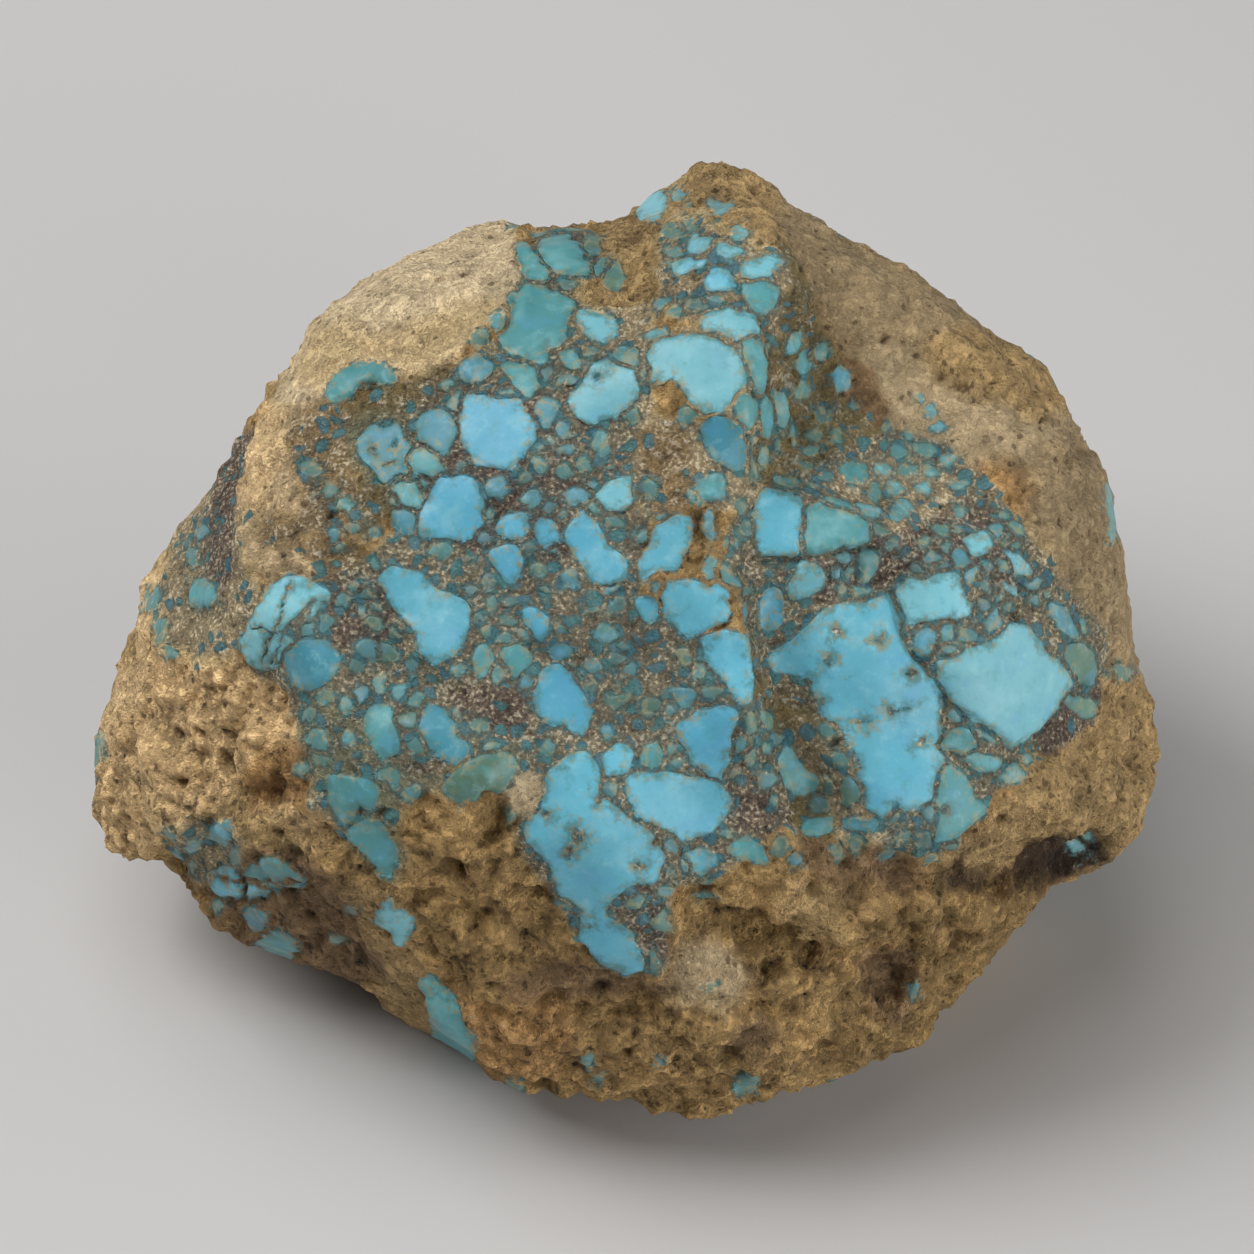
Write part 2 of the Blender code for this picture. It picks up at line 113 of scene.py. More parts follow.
NODULES: dict[Tint, list[str]] = {
    Tint.SKY: [
        "466,396 500,399 520,400 530,416 534,440 522,458 510,468 494,468 478,464 466,446 460,430 460,413",
        "443,481 470,478 479,490 483,508 480,527 463,543 434,537 419,535 418,515 428,496",
        "500,522 512,514 526,518 527,536 513,540 499,532",
        "538,524 556,522 557,540 546,547 536,540",
        "490,553 503,546 520,549 520,572 510,584 500,578 493,566",
        "566,536 571,523 584,514 598,522 608,545 622,554 626,572 620,588 606,594 594,584 583,566 573,553",
        "536,690 541,675 556,663 570,670 584,690 587,703 591,716 583,736 566,723 554,724 541,718 533,702",
        "522,611 534,608 546,617 550,630 541,641 529,631",
        "766,594 780,592 786,604 782,626 772,626",
        "702,712 722,705 736,712 733,734 732,746 727,752 730,765 720,778 700,766 684,746 676,728 690,717",
    ],
    Tint.AQUA: [
        "650,540 656,527 672,516 690,516 693,529 685,554 677,570 657,572 643,580 638,568 644,555",
        "662,590 676,583 692,580 706,584 722,582 726,600 726,620 706,628 694,634 678,630 664,612",
        "703,636 718,632 732,630 744,640 751,660 751,690 745,703 733,697 724,680 712,664",
        "812,622 826,609 846,603 868,603 890,594 897,606 901,622 904,640 921,666 940,694 943,712 941,738 "
        "933,742 941,750 942,764 936,776 934,792 920,807 908,813 893,798 889,813 882,821 870,805 860,775 "
        "848,748 842,728 824,715 825,700 812,690 815,677 788,674 777,658 795,638",
        "626,780 645,771 675,772 696,778 720,782 731,798 730,808 716,828 700,838 682,837 658,826 636,812",
        "546,778 556,764 570,758 584,753 597,762 601,776 598,800 608,801 620,812 646,831 654,838 650,844 "
        "662,848 664,868 656,880 636,882 618,895 609,904 607,918 624,928 636,946 644,964 632,974 616,967 "
        "600,965 584,946 580,932 585,912 575,903 558,900 556,885 548,862 530,845 524,832 530,818 542,808",
        "688,852 704,850 716,857 708,872 699,876 691,864",
        "379,580 390,569 412,572 436,588 460,597 470,612 466,634 452,656 436,661 422,654 414,630 400,612 388,600",
        "603,760 614,746 628,747 631,762 616,778 606,772",
        "704,282 712,270 726,270 734,280 724,292 711,292",
        "754,500 764,489 788,493 801,506 803,530 802,548 796,556 770,560 761,547 755,530",
        "208,874 232,868 250,882 264,893 258,899 236,902 218,898",
        "208,832 226,820 232,830 227,846 214,839",
        "636,600 650,595 661,609 655,622 644,620",
    ],
    Tint.PALE: [
        "576,318 582,309 613,320 615,332 602,342 589,336",
        "742,266 758,259 776,266 764,280 744,278",
        "674,262 704,260 700,268 678,275",
        "568,395 582,382 592,367 612,363 628,366 638,380 640,396 630,410 606,420 590,424 577,416",
        "595,492 612,481 631,478 637,490 628,506 612,511 599,502",
        "634,200 645,191 660,190 668,198 664,212 650,220 638,214",
        "650,352 660,342 680,336 705,338 728,348 740,362 742,385 732,402 715,413 700,410 688,398 674,378 655,384",
        "700,318 715,312 740,312 760,319 758,332 738,338 716,331 702,330",
        "243,650 247,627 257,605 270,588 288,578 308,580 330,592 325,607 308,622 294,641 280,661 264,667 250,664",
        "935,664 946,660 972,650 1000,638 1002,628 1014,622 1028,630 1048,655 1066,668 1074,681 1060,702 "
        "1046,724 1032,740 1014,748 992,734 968,716 948,698",
        "898,592 912,580 930,578 944,572 956,576 968,614 940,618 914,624 904,618",
        "966,540 976,532 990,536 991,548 981,556 970,552",
        "1002,552 1014,554 1028,566 1030,578 1014,574",
        "786,596 794,580 800,566 816,566 826,578 814,593 798,601",
        "374,914 386,904 392,904 393,914 404,918 412,926 404,945 394,945 388,932 378,925",
    ],
    Tint.TEAL: [
        "362,730 370,712 386,704 393,715 394,732 400,746 386,756 372,744",
        "742,342 756,336 770,342 776,360 772,380 766,394 757,388 748,366",
        "502,340 504,328 512,316 510,300 520,288 534,283 552,290 572,297 574,308 566,322 564,345 548,348 "
        "544,363 532,363 520,355 508,352",
        "540,240 556,236 573,237 588,262 588,275 572,275 552,268 543,260",
        "516,250 526,246 534,256 546,264 548,276 536,283 526,276",
        "502,366 514,364 537,370 535,388 527,398 516,388",
        "412,452 426,449 441,462 442,473 427,480 414,471",
        "392,486 411,482 420,490 415,508 400,502",
        "560,353 574,351 581,362 570,369 561,363",
        "742,285 760,282 775,288 776,300 766,311 753,307",
        "503,650 516,646 533,658 529,669 516,677 507,666",
        "472,660 477,647 487,644 494,660 486,673 476,675",
        "822,500 834,498 856,513 838,512 826,508",
        "838,466 868,464 871,476 858,482 843,475",
        "783,772 790,752 799,752 805,772 820,787 814,799 797,797",
        "808,822 830,816 834,826 826,835 812,834",
        "940,744 958,728 974,735 976,748 968,754 950,752",
        "968,756 1000,758 1002,768 986,773 970,767",
        "325,778 340,774 372,783 379,796 373,809 364,811 356,806 350,822 341,822 333,810",
        "348,832 362,821 383,825 394,840 397,856 388,874 374,864 356,845",
        "244,872 270,860 290,871 303,883 290,889 262,884",
        "258,941 276,932 292,941 297,950 286,957 266,949",
        "418,982 428,980 434,990 452,1004 468,1022 476,1040 474,1056 480,1070 500,1084 494,1090 474,1080 "
        "452,1068 440,1056 426,1048 434,1030 426,1008 424,996",
        "641,757 648,745 661,745 664,756 650,768",
        "727,852 744,837 765,850 766,861 748,861",
        "188,600 192,582 200,580 214,588 214,600 203,606",
        "767,402 776,400 783,408 782,430 776,440 769,430",
        "786,396 795,396 798,412 794,426 787,416",
        "804,354 812,352 816,364 812,374 806,368",
        "797,334 804,333 806,346 802,354 797,346",
        "328,390 336,374 356,364 380,366 396,374 390,384 366,381 352,392 340,402 330,402",
        "1110,472 1116,490 1116,520 1112,545 1108,520 1107,490",
        "804,512 822,507 850,515 868,530 864,544 842,548 812,556 803,548",
        "950,765 966,776 974,796 984,806 976,819 966,830 956,838 944,842 934,834 940,816 936,804 940,780",
        "688,488 704,480 714,474 723,482 722,498 706,498 697,505",
        "735,400 746,395 759,403 758,420 746,429 737,416",
    ],
    Tint.DEEP: [
        "286,660 294,646 310,639 330,644 338,660 330,680 314,690 299,688 289,676",
        "1050,606 1062,606 1078,630 1072,637 1056,622",
        "845,822 872,818 876,826 858,832",
        "246,912 258,912 264,922 256,930 248,924",
        "362,436 372,426 384,430 396,426 404,440 411,447 404,458 408,470 392,472 384,480 374,468 366,462 358,450",
        "420,714 431,703 444,710 456,724 467,742 465,757 453,766 439,757 427,742 418,728",
        "424,413 446,411 456,428 455,440 444,450 430,447 420,438",
        "700,432 706,422 716,416 732,422 741,434 747,456 740,468 726,468 712,455",
        "461,364 484,360 493,366 486,378 466,383",
        "536,404 546,399 558,403 560,412 551,425 543,428",
        "832,370 842,366 852,378 850,390 838,390",
        "392,512 410,509 417,520 413,535 398,531",
    ],
    Tint.GREEN: [
        "446,792 452,776 470,762 492,752 512,750 519,762 511,779 497,794 478,802 458,802",
        "1064,652 1074,642 1090,652 1098,670 1092,684 1076,681",
        "604,268 616,260 624,276 618,294 606,288",
        "762,716 776,712 785,722 776,731",
        "1070,702 1086,698 1095,708 1086,718",
    ],
}

# Smaller ones: middle across, middle down, half width, half height, turn in degrees.
PEBBLES: dict[Tint, list[tuple[float, ...]]] = {
    Tint.SKY: [
        (497, 488, 11, 13, 8), (455, 401, 7, 10, 20), (564, 431, 9, 9, 0), (566, 449, 10, 8, 0),
        (571, 577, 10, 9, 35), (574, 498, 14, 9, 0), (590, 599, 6, 7, 60), (558, 629, 6, 6, 0),
        (562, 651, 14, 8, 5), (592, 666, 10, 9, 20), (514, 756, 7, 6, 0), (708, 526, 6, 16, 3),
        (662, 303, 9, 6, -15), (925, 642, 10, 14, 0), (684, 697, 11, 12, -20), (668, 711, 6, 7, 0),
        (670, 846, 7, 7, 0), (665, 891, 8, 7, 0), (305, 592, 6, 8, 30), (318, 600, 8, 6, -10),
        (375, 567, 5, 7, 0), (334, 535, 6, 8, 0), (202, 532, 7, 6, 0), (959, 558, 10, 9, 0),
        (932, 558, 7, 6, 0), (986, 566, 6, 6, 0), (970, 575, 7, 7, 0), (930, 813, 6, 8, 0),
        (954, 715, 6, 8, 20), (658, 1062, 5, 4, 0), (630, 670, 6, 6, 0), (1086, 858, 9, 7, -20),
        (914, 990, 5, 6, 20), (191, 846, 10, 7, -40), (177, 855, 6, 7, 30),
        (550, 439, 7, 5, 0), (591, 485, 6, 5, 0), (998, 531, 7, 9, 0), (995, 620, 9, 9, 0), (521, 634, 7, 7, 0),
        (526, 684, 6, 7, 0), (743, 746, 7, 9, 0), (1033, 582, 8, 6, 30), (684, 866, 9, 8, 0),
        (607, 731, 7, 7, 0), (363, 610, 5, 5, 0),
    ],
    Tint.PALE: [
        (677, 197, 9, 7, 0), (700, 245, 17, 9, -10), (657, 336, 13, 8, -10), (867, 510, 11, 8, 10),
        (901, 510, 11, 8, 15), (959, 484, 9, 5, -10), (948, 459, 8, 6, -10), (949, 634, 9, 10, 0),
        (948, 653, 9, 6, 0), (402, 690, 8, 10, 20), (712, 569, 9, 13, -15), (348, 739, 8, 8, 0),
        (706, 900, 7, 4, 0), (501, 322, 10, 8, -20), (880, 470, 10, 6, 10),
        (1012, 590, 7, 5, 30), (925, 488, 8, 6, 0),
        (727, 252, 13, 9, -5), (738, 234, 10, 7, 0), (896, 488, 10, 8, 0), (938, 426, 9, 6, 30),
        (918, 398, 4, 8, -40), (930, 412, 5, 8, -40), (720, 208, 14, 6, 10),
    ],
    Tint.TEAL: [
        (565, 470, 9, 7, 0), (607, 463, 7, 5, 0), (615, 522, 9, 5, 20), (489, 512, 6, 4, 0),
        (538, 464, 8, 7, -30), (686, 206, 6, 5, 0), (673, 253, 9, 6, 10), (714, 298, 10, 5, 0),
        (627, 355, 13, 8, 0), (631, 416, 9, 8, -25), (566, 381, 10, 7, 0), (541, 236, 8, 5, 0),
        (570, 230, 10, 5, 0), (604, 267, 11, 9, -20), (592, 351, 7, 6, 0), (499, 673, 8, 8, 0),
        (486, 630, 6, 5, 0), (608, 633, 11, 10, 0), (414, 699, 9, 9, 0), (455, 714, 6, 6, 0),
        (495, 750, 12, 8, 10), (510, 818, 5, 6, 0), (650, 490, 7, 10, 0), (727, 575, 8, 13, -30),
        (791, 480, 11, 7, 0), (816, 485, 6, 3, 0), (897, 452, 9, 8, 0), (925, 449, 12, 7, 10),
        (929, 471, 9, 7, 0), (906, 473, 9, 7, 20), (876, 491, 10, 8, 0), (958, 514, 7, 5, -20),
        (942, 530, 8, 9, 0), (959, 528, 6, 4, 0), (926, 542, 6, 5, 0), (869, 566, 9, 15, 0),
        (844, 557, 8, 6, 0), (862, 591, 7, 6, 0), (1046, 594, 4, 4, 0), (1012, 773, 10, 10, 20),
        (901, 828, 8, 5, 0), (636, 902, 9, 8, 0), (668, 750, 7, 8, 20), (677, 762, 8, 4, 0),
        (728, 834, 6, 6, 0), (794, 861, 8, 6, 0), (776, 801, 4, 5, 0), (381, 682, 8, 10, 10),
        (346, 705, 8, 11, 0), (326, 698, 8, 8, 0), (318, 738, 10, 11, 0), (308, 713, 6, 7, 0),
        (417, 746, 9, 8, 0), (192, 556, 7, 8, 0), (152, 600, 6, 14, 15), (160, 630, 7, 13, 0),
        (168, 652, 8, 8, 0), (97, 752, 6, 18, 15), (169, 834, 5, 6, 0), (236, 855, 6, 7, 0),
        (220, 905, 8, 4, 0), (321, 973, 8, 3, 0), (652, 960, 6, 12, 0), (588, 1064, 6, 10, 0),
        (598, 1077, 7, 3, 0), (747, 1083, 11, 8, -20), (512, 1084, 13, 6, 0),
        (773, 456, 5, 12, 0), (801, 430, 5, 10, 0),
        (818, 446, 7, 8, 0), (812, 388, 6, 9, 0), (825, 350, 6, 9, 10),
        (1096, 850, 8, 7, 0), (1016, 530, 8, 6, 20),
        (1028, 760, 7, 6, 0), (868, 640, 5, 4, 0),
        (340, 600, 7, 9, 0), (1006, 540, 5, 6, 0), (1035, 600, 5, 6, 0),
        (532, 500, 9, 11, 0), (584, 463, 7, 7, 0), (441, 551, 12, 9, 20), (394, 501, 6, 6, 0),
        (424, 484, 7, 6, 0), (508, 393, 9, 4, 0), (449, 386, 8, 6, 0),
        (601, 444, 10, 12, 0), (642, 373, 5, 8, 0), (662, 515, 7, 4, 0), (596, 508, 7, 6, 0),
        (829, 474, 7, 5, 0), (839, 574, 6, 5, 0), (851, 573, 6, 6, 0), (908, 435, 6, 5, 0), (944, 548, 5, 6, 0),
        (967, 635, 9, 9, 0), (461, 735, 9, 7, 0), (492, 607, 7, 8, 0), (508, 621, 8, 6, 0), (504, 638, 8, 6, 0),
        (458, 669, 7, 6, 0), (548, 747, 8, 8, 0), (389, 776, 9, 9, 0), (592, 607, 8, 6, 0), (659, 587, 6, 5, 0),
        (699, 671, 8, 8, 0), (706, 880, 7, 5, 0), (563, 903, 10, 5, 10), (673, 313, 8, 7, 0),
        (1004, 517, 6, 5, 0), (1003, 566, 8, 9, 30), (1083, 626, 5, 8, -20), (828, 733, 7, 10, 0),
        (840, 760, 9, 8, 0), (769, 751, 8, 6, 0), (641, 536, 8, 7, 0), (686, 415, 10, 11, 0),
        (345, 505, 8, 6, 0), (352, 528, 7, 6, 0), (338, 548, 7, 5, 0),
    ],
    Tint.DEEP: [
        (354, 587, 5, 6, 0), (412, 667, 7, 5, 0), (361, 694, 9, 10, 20), (368, 650, 12, 9, 0),
        (409, 793, 9, 9, 0), (611, 788, 8, 8, 0), (767, 779, 11, 9, 0), (987, 734, 12, 6, 35),
        (325, 622, 9, 10, 0), (562, 515, 6, 4, 0), (470, 560, 6, 5, 0),
        (548, 560, 5, 5, 0), (545, 598, 6, 5, 0), (510, 602, 6, 5, 0), (735, 545, 5, 8, 0),
        (748, 610, 6, 12, -10), (760, 640, 6, 10, -20), (1000, 600, 6, 5, 0), (620, 690, 6, 6, 0),
    ],
    Tint.GREEN: [
        (672, 232, 12, 9, 0), (592, 245, 10, 11, -30), (514, 229, 6, 8, -30), (480, 338, 10, 6, -30),
        (879, 532, 11, 6, 10), (303, 626, 14, 12, 0), (374, 623, 10, 7, -10), (388, 653, 10, 9, 0),
        (751, 722, 8, 12, 0), (750, 756, 8, 10, 0), (780, 846, 8, 8, 0), (931, 860, 7, 6, 0),
        (837, 851, 8, 8, 0), (338, 940, 8, 6, 0), (190, 868, 5, 7, 0), (711, 987, 6, 7, 0),
        (350, 909, 6, 5, 0), (836, 436, 6, 8, 0), (822, 430, 6, 6, 0), (690, 225, 10, 6, 0),
        (300, 770, 9, 7, 0), (320, 760, 8, 6, 0), (650, 705, 12, 8, 0), (1015, 545, 6, 6, 0),
        (540, 567, 10, 8, 0), (740, 505, 8, 8, 0), (757, 470, 9, 10, 0), (711, 692, 9, 6, 0),
        (618, 698, 13, 9, 0), (409, 720, 10, 10, 0), (480, 726, 12, 7, 0), (660, 922, 9, 12, 0),
        (850, 792, 12, 14, 0), (857, 843, 6, 8, 0), (950, 846, 10, 5, -10), (1122, 672, 10, 8, 0),
        (682, 656, 8, 8, 0), (775, 560, 8, 6, 0), (312, 470, 10, 7, 0), (330, 490, 9, 7, 0),
    ],
    Tint.SLATE: [
        # The first row lies on the spur's right flank, which is in shade: their slate is partly the cells' colour and
        # partly painted shade.
        (777, 342, 4, 7, 0), (757, 442, 4, 7, 0), (788, 443, 4, 7, 0), (812, 460, 6, 9, -20), (827, 412, 6, 8, 0),
        (887, 428, 4, 6, 0), (856, 405, 5, 5, 0),
        (524, 477, 6, 5, 0), (542, 446, 5, 5, 0), (553, 551, 6, 6, 0), (528, 548, 7, 6, 0), (486, 538, 7, 6, 0),
        (375, 535, 7, 7, 0), (462, 465, 6, 5, 0), (550, 509, 9, 6, 0), (545, 589, 7, 6, 0),
        (747, 528, 7, 10, 0), (727, 545, 6, 6, 0), (748, 591, 9, 6, 0), (844, 587, 6, 6, 0),
        (893, 545, 8, 8, 0), (916, 571, 7, 7, 0), (986, 588, 6, 8, 0), (984, 605, 8, 4, 0),
        (1007, 606, 5, 7, 0), (943, 567, 6, 4, 0), (366, 596, 7, 6, 0), (376, 609, 6, 5, 0),
        (394, 633, 6, 6, 0), (356, 666, 7, 7, 0), (487, 585, 9, 9, 0), (478, 620, 6, 5, 0), (591, 686, 7, 8, 0),
        (617, 607, 10, 8, 0), (623, 646, 8, 6, 0), (615, 659, 9, 8, 0), (582, 676, 7, 6, 0),
        (734, 771, 8, 6, 0), (783, 742, 7, 6, 0), (569, 284, 9, 6, 0), (696, 306, 10, 5, 0),
        (545, 372, 8, 6, 0), (673, 871, 6, 7, 0), (826, 790, 7, 8, 0), (822, 808, 8, 8, 0),
        (893, 821, 10, 7, 0), (903, 835, 9, 5, 0), (924, 839, 7, 8, 0), (887, 852, 7, 8, 0),
        (762, 640, 7, 9, 0), (470, 590, 6, 5, 0), (571, 663, 6, 5, 0),
    ],
}

# Patches of web inside the large cobbles: middle, half width, half height and turn on the chart.
INCLUSIONS: list[tuple[float, float, float, float, float]] = [
    (577, 837, 6, 10, 20), (547, 812, 4, 5, 0), (829, 663, 4, 5, 0), (892, 711, 5, 4, 0), (862, 722, 9, 2, 0),
    (912, 672, 5, 4, 30), (945, 808, 5, 5, 0), (905, 708, 7, 3, 0), (600, 800, 4, 5, 0), (568, 852, 4, 6, 0),
    (590, 925, 3, 4, 0), (655, 382, 5, 3, 0), (836, 632, 6, 2, 30), (880, 640, 2, 6, 10), (920, 740, 7, 2, -30), (598, 378, 4, 4, 0), (640, 866, 4, 4, 0),
    (374, 451, 5, 3, 20), (396, 443, 3, 5, 0), (389, 462, 6, 2, -20),
]

# Veins of web that cut through cobbles: half width in mm, path on the chart.
VEINS: list[tuple[float, str]] = [
    (0.16, "641,300 640,360 642,420 636,470 637,520 634,570 636,640"),
    (0.14, "802,490 803,520 801,560"),
    (0.07, "262,664 268,642 280,620 290,580"),
    (0.06, "272,662 288,630 312,604"),
    (0.06, "250,628 268,630 300,636"),
    (0.14, "212,876 240,884 268,880 300,884"),
    (0.12, "236,868 246,884 240,902"),
    (0.1, "830,745 850,748 862,770"),
    (0.12, "470,560 500,585 540,600 575,612 600,640"),
    (0.12, "600,465 640,455 680,470 700,500"),
    (0.1, "566,610 600,590 640,580"),
]

# Stretches of host rock on the show face, laid one over the other: finish, feather in mm, outline on the chart. Some of
# them paint shade where the face lies in shadow, as noted at each.
GROUNDS: list[tuple[Ground, float, str]] = [
    (Ground.SLOPE, 1.2, "750,150 860,230 960,290 1060,360 1130,440 1150,600 1150,700 1100,650 1050,575 1010,515 "
                        "950,470 890,440 860,390 830,330 790,280 760,220"),
    (Ground.PALE_SLOPE, 1.4, "880,340 930,380 980,390 1060,400 1050,440 1000,470 950,485 920,460 880,410 870,370"),
    (Ground.TAN, 0.8, "930,330 990,330 1060,360 1080,400 1040,420 990,400 940,380"),
    (Ground.RUST, 1.0, "970,470 1010,460 1035,490 1020,520 985,515"),
    (Ground.CRUST, 0.35, "290,430 270,400 300,330 350,285 400,250 440,225 480,205 507,218 513,240 513,262 528,277 "
                         "514,292 509,316 490,326 466,343 446,364 425,377 390,370 345,368 330,395 318,425"),
    (Ground.SAND, 0.8, "290,372 320,318 380,330 440,312 500,300 508,318 490,326 466,343 446,364 425,377 390,370 "
                       "345,368 325,392"),
    (Ground.FLANK, 0.6, "255,470 270,430 300,405 335,395 350,425 335,455 338,520 345,560 305,592 262,575 240,530"),
    (Ground.FLANK, 0.8, "245,435 262,430 248,480 240,520 222,500 205,500"),
    (Ground.TAN_WEB, 1.0, "160,540 210,495 240,520 250,570 262,600 250,640 215,680 170,660 150,610"),
    (Ground.GOLD, 1.0, "90,740 120,680 150,640 200,660 240,650 285,690 310,760 330,830 280,850 230,850 180,830 "
                      "160,850 120,860 90,830"),
    (Ground.HONEY, 0.8, "90,760 105,710 130,660 130,600 150,560 165,560 150,640 140,690 115,730 105,760"),
    (Ground.GOLD, 0.8, "170,690 215,670 235,690 215,725 175,725"),
    (Ground.RUST, 0.8, "240,770 300,740 325,775 325,815 290,805 250,810"),
    (Ground.TAN, 0.8, "215,800 245,790 250,815 285,820 300,845 260,850 232,845"),
    (Ground.WEB, 0.5, "350,420 400,395 455,365 500,340 515,300 540,232 600,240 640,300 650,420 650,520 640,600 "
                      "700,630 750,700 765,760 785,800 750,850 690,885 640,905 665,965 600,968 556,900 520,850 "
                      "512,800 470,760 400,795 340,835 310,760 290,700 280,690 250,665 262,615 300,585 350,565 "
                      "395,540 380,500 352,460"),
    (Ground.OLIVE, 0.8, "345,400 400,380 450,368 440,395 400,410 405,440 385,470 395,500 380,530 340,560 "
                          "320,520 340,480 350,440"),
    (Ground.TAN_WEB, 0.7, "560,290 640,280 655,330 700,330 800,300 805,330 770,345 700,345 655,350 655,420 "
                          "700,430 700,480 640,520 630,500 640,420 640,380 600,350 560,340"),
    (Ground.TAN_WEB, 0.5, "640,200 690,175 740,200 770,250 805,300 810,400 790,480 740,510 700,500 690,440 740,400 "
                      "720,345 660,300 650,240"),
    (Ground.TAN, 0.7, "600,215 650,205 700,160 760,150 775,200 780,250 740,240 700,215 660,225 655,265 600,262"),
    (Ground.TAN, 0.5, "575,285 640,270 655,300 600,312"),
    (Ground.TAN_WEB, 0.6, "655,430 690,420 700,450 690,480 660,475 645,450"),
    # Partly painted shade: this olive stretch lies on the cliff right of the spur, which faces away from the light; its
    # dark olive is partly the rock's colour and partly painted shade.
    (Ground.OLIVE, 0.8, "800,310 830,335 860,380 890,430 880,460 830,480 790,490 760,495 755,450 790,400 800,350"),
    (Ground.WEB, 0.6, "755,500 800,480 880,435 950,445 1000,500 1045,560 1105,640 1100,700 1040,755 1000,800 "
                      "950,852 900,850 850,835 800,840 770,790 750,700 745,640 728,560 735,510"),
    (Ground.PLUM, 0.6, "880,500 960,500 1000,520 1035,580 1000,600 960,570 900,580 850,600 800,600 780,570 "
                       "800,560 870,550"),
    # Partly painted shade, on the same shaded cliff.
    (Ground.OLIVE, 0.4, "772,232 800,268 828,335 862,382 888,420 872,446 832,430 800,442 768,436 762,380 "
                        "786,330 778,280"),
    (Ground.UMBER, 0.4, "842,350 868,375 892,412 880,432 852,402 836,372"),
    (Ground.BRACKEN, 0.4, "640,430 668,420 690,440 694,500 672,520 650,508 640,470"),
    (Ground.PLUM, 0.5, "232,440 256,430 244,500 236,560 214,600 200,560 212,500"),
    (Ground.BRACKEN, 0.5, "290,440 330,400 352,420 358,500 352,560 325,575 305,540 300,480"),
    (Ground.BRACKEN, 0.4, "262,516 318,520 322,542 268,550"),
    (Ground.HONEY, 0.5, "268,405 292,415 276,470 262,512 248,505 250,455"),
    (Ground.SEA, 0.5, "350,415 395,418 412,450 400,480 365,478 348,450"),
    (Ground.TAN_WEB, 0.6, "820,480 880,460 960,475 950,505 890,530 860,505"),
    (Ground.OLIVE, 0.7, "750,600 765,640 790,690 830,720 845,780 870,830 820,850 790,820 790,740 760,720 750,680"),
    (Ground.TAN_WEB, 0.7, "830,700 845,700 850,740 870,800 885,830 850,850 830,800 800,740"),
    (Ground.UMBER, 0.9, "800,845 860,835 920,860 900,900 850,905 820,890"),
    (Ground.PLUM, 0.5, "1035,740 1060,710 1100,690 1100,720 1060,752"),
    (Ground.TAN, 0.35, "1000,790 1030,757 1060,748 1100,705 1110,680 1140,680 1175,760 1170,840 1120,880 1060,875 "
                       "1000,895 930,880 948,858 975,822"),
    (Ground.RUST, 0.5, "1000,790 975,822 935,872 920,890 940,868 985,815 1015,785"),
    # Painted shade: the recess under the tan lobe's lip and the shadowed band beside it are darkened in colour.
    (Ground.PAINTED_SHADE, 0.4, "1045,842 1090,830 1110,850 1100,868 1060,882 1025,900 1000,892 1015,868"),
    (Ground.PAINTED_SHADE, 0.6, "930,885 960,868 1000,880 990,892 950,890"),
    (Ground.DUN, 1.2, "860,890 920,895 1040,890 1020,960 960,1010 900,1060 840,1070 830,1000 870,940"),
    (Ground.PLUM, 0.7, "735,785 770,790 790,820 760,835 735,825"),
    (Ground.PLUM, 0.6, "325,590 370,580 395,620 390,650 350,660 335,630"),
    (Ground.PLUM, 0.6, "440,400 520,385 560,420 580,480 560,560 480,560 430,520 420,450"),
    (Ground.PLUM, 0.5, "480,680 520,690 530,735 500,735 450,705"),
    (Ground.PLUM, 0.5, "395,760 440,770 430,790 395,790"),
    (Ground.SEA, 0.7, "300,690 340,690 360,730 400,760 440,775 520,740 515,770 480,800 430,790 400,800 400,870 "
                      "380,880 340,830 310,780"),
    (Ground.UMBER, 0.6, "505,975 560,960 620,975 665,985 670,1000 600,1000 520,1005"),
    (Ground.RUST, 1.2, "430,1000 500,1000 560,1005 570,1060 520,1085 470,1060 440,1020"),
    (Ground.TAN, 0.7, "345,880 400,905 420,960 430,1030 420,1060 380,990 355,920"),
    # Painted shade: the lower left's underside lies in shadow, and this dark umber stretch paints that shade.
    (Ground.UMBER, 0.5, "185,870 230,850 310,858 345,890 360,930 385,965 370,985 300,985 220,920"),
    (Ground.TAN_WEB, 0.6, "165,830 230,820 240,860 200,880 175,865"),
    (Ground.CRUST, 0.6, "505,790 530,775 545,790 535,815 510,812"),
    (Ground.TAN, 0.8, "770,880 830,880 845,930 820,950 790,920"),
    (Ground.PALE_SLOPE, 0.8, "680,945 715,938 738,960 742,1000 700,1012 665,1000"),
    # Partly painted shade: this umber stretch lies over a carved hollow and darkens it in colour.
    (Ground.UMBER, 0.6, "725,1030 760,1018 780,1040 755,1065 735,1055"),
    (Ground.DUN, 0.7, "735,915 785,910 795,960 760,985 735,960"),
    # Partly painted shade: this umber stretch lies over a carved cavity and darkens it in colour.
    (Ground.UMBER, 0.7, "865,950 905,945 915,1000 900,1020 870,1000"),
    (Ground.DUN, 0.6, "700,1060 760,1060 765,1090 720,1095"),
    (Ground.PLUM, 0.6, "635,880 665,870 665,960 640,950 630,915"),
]

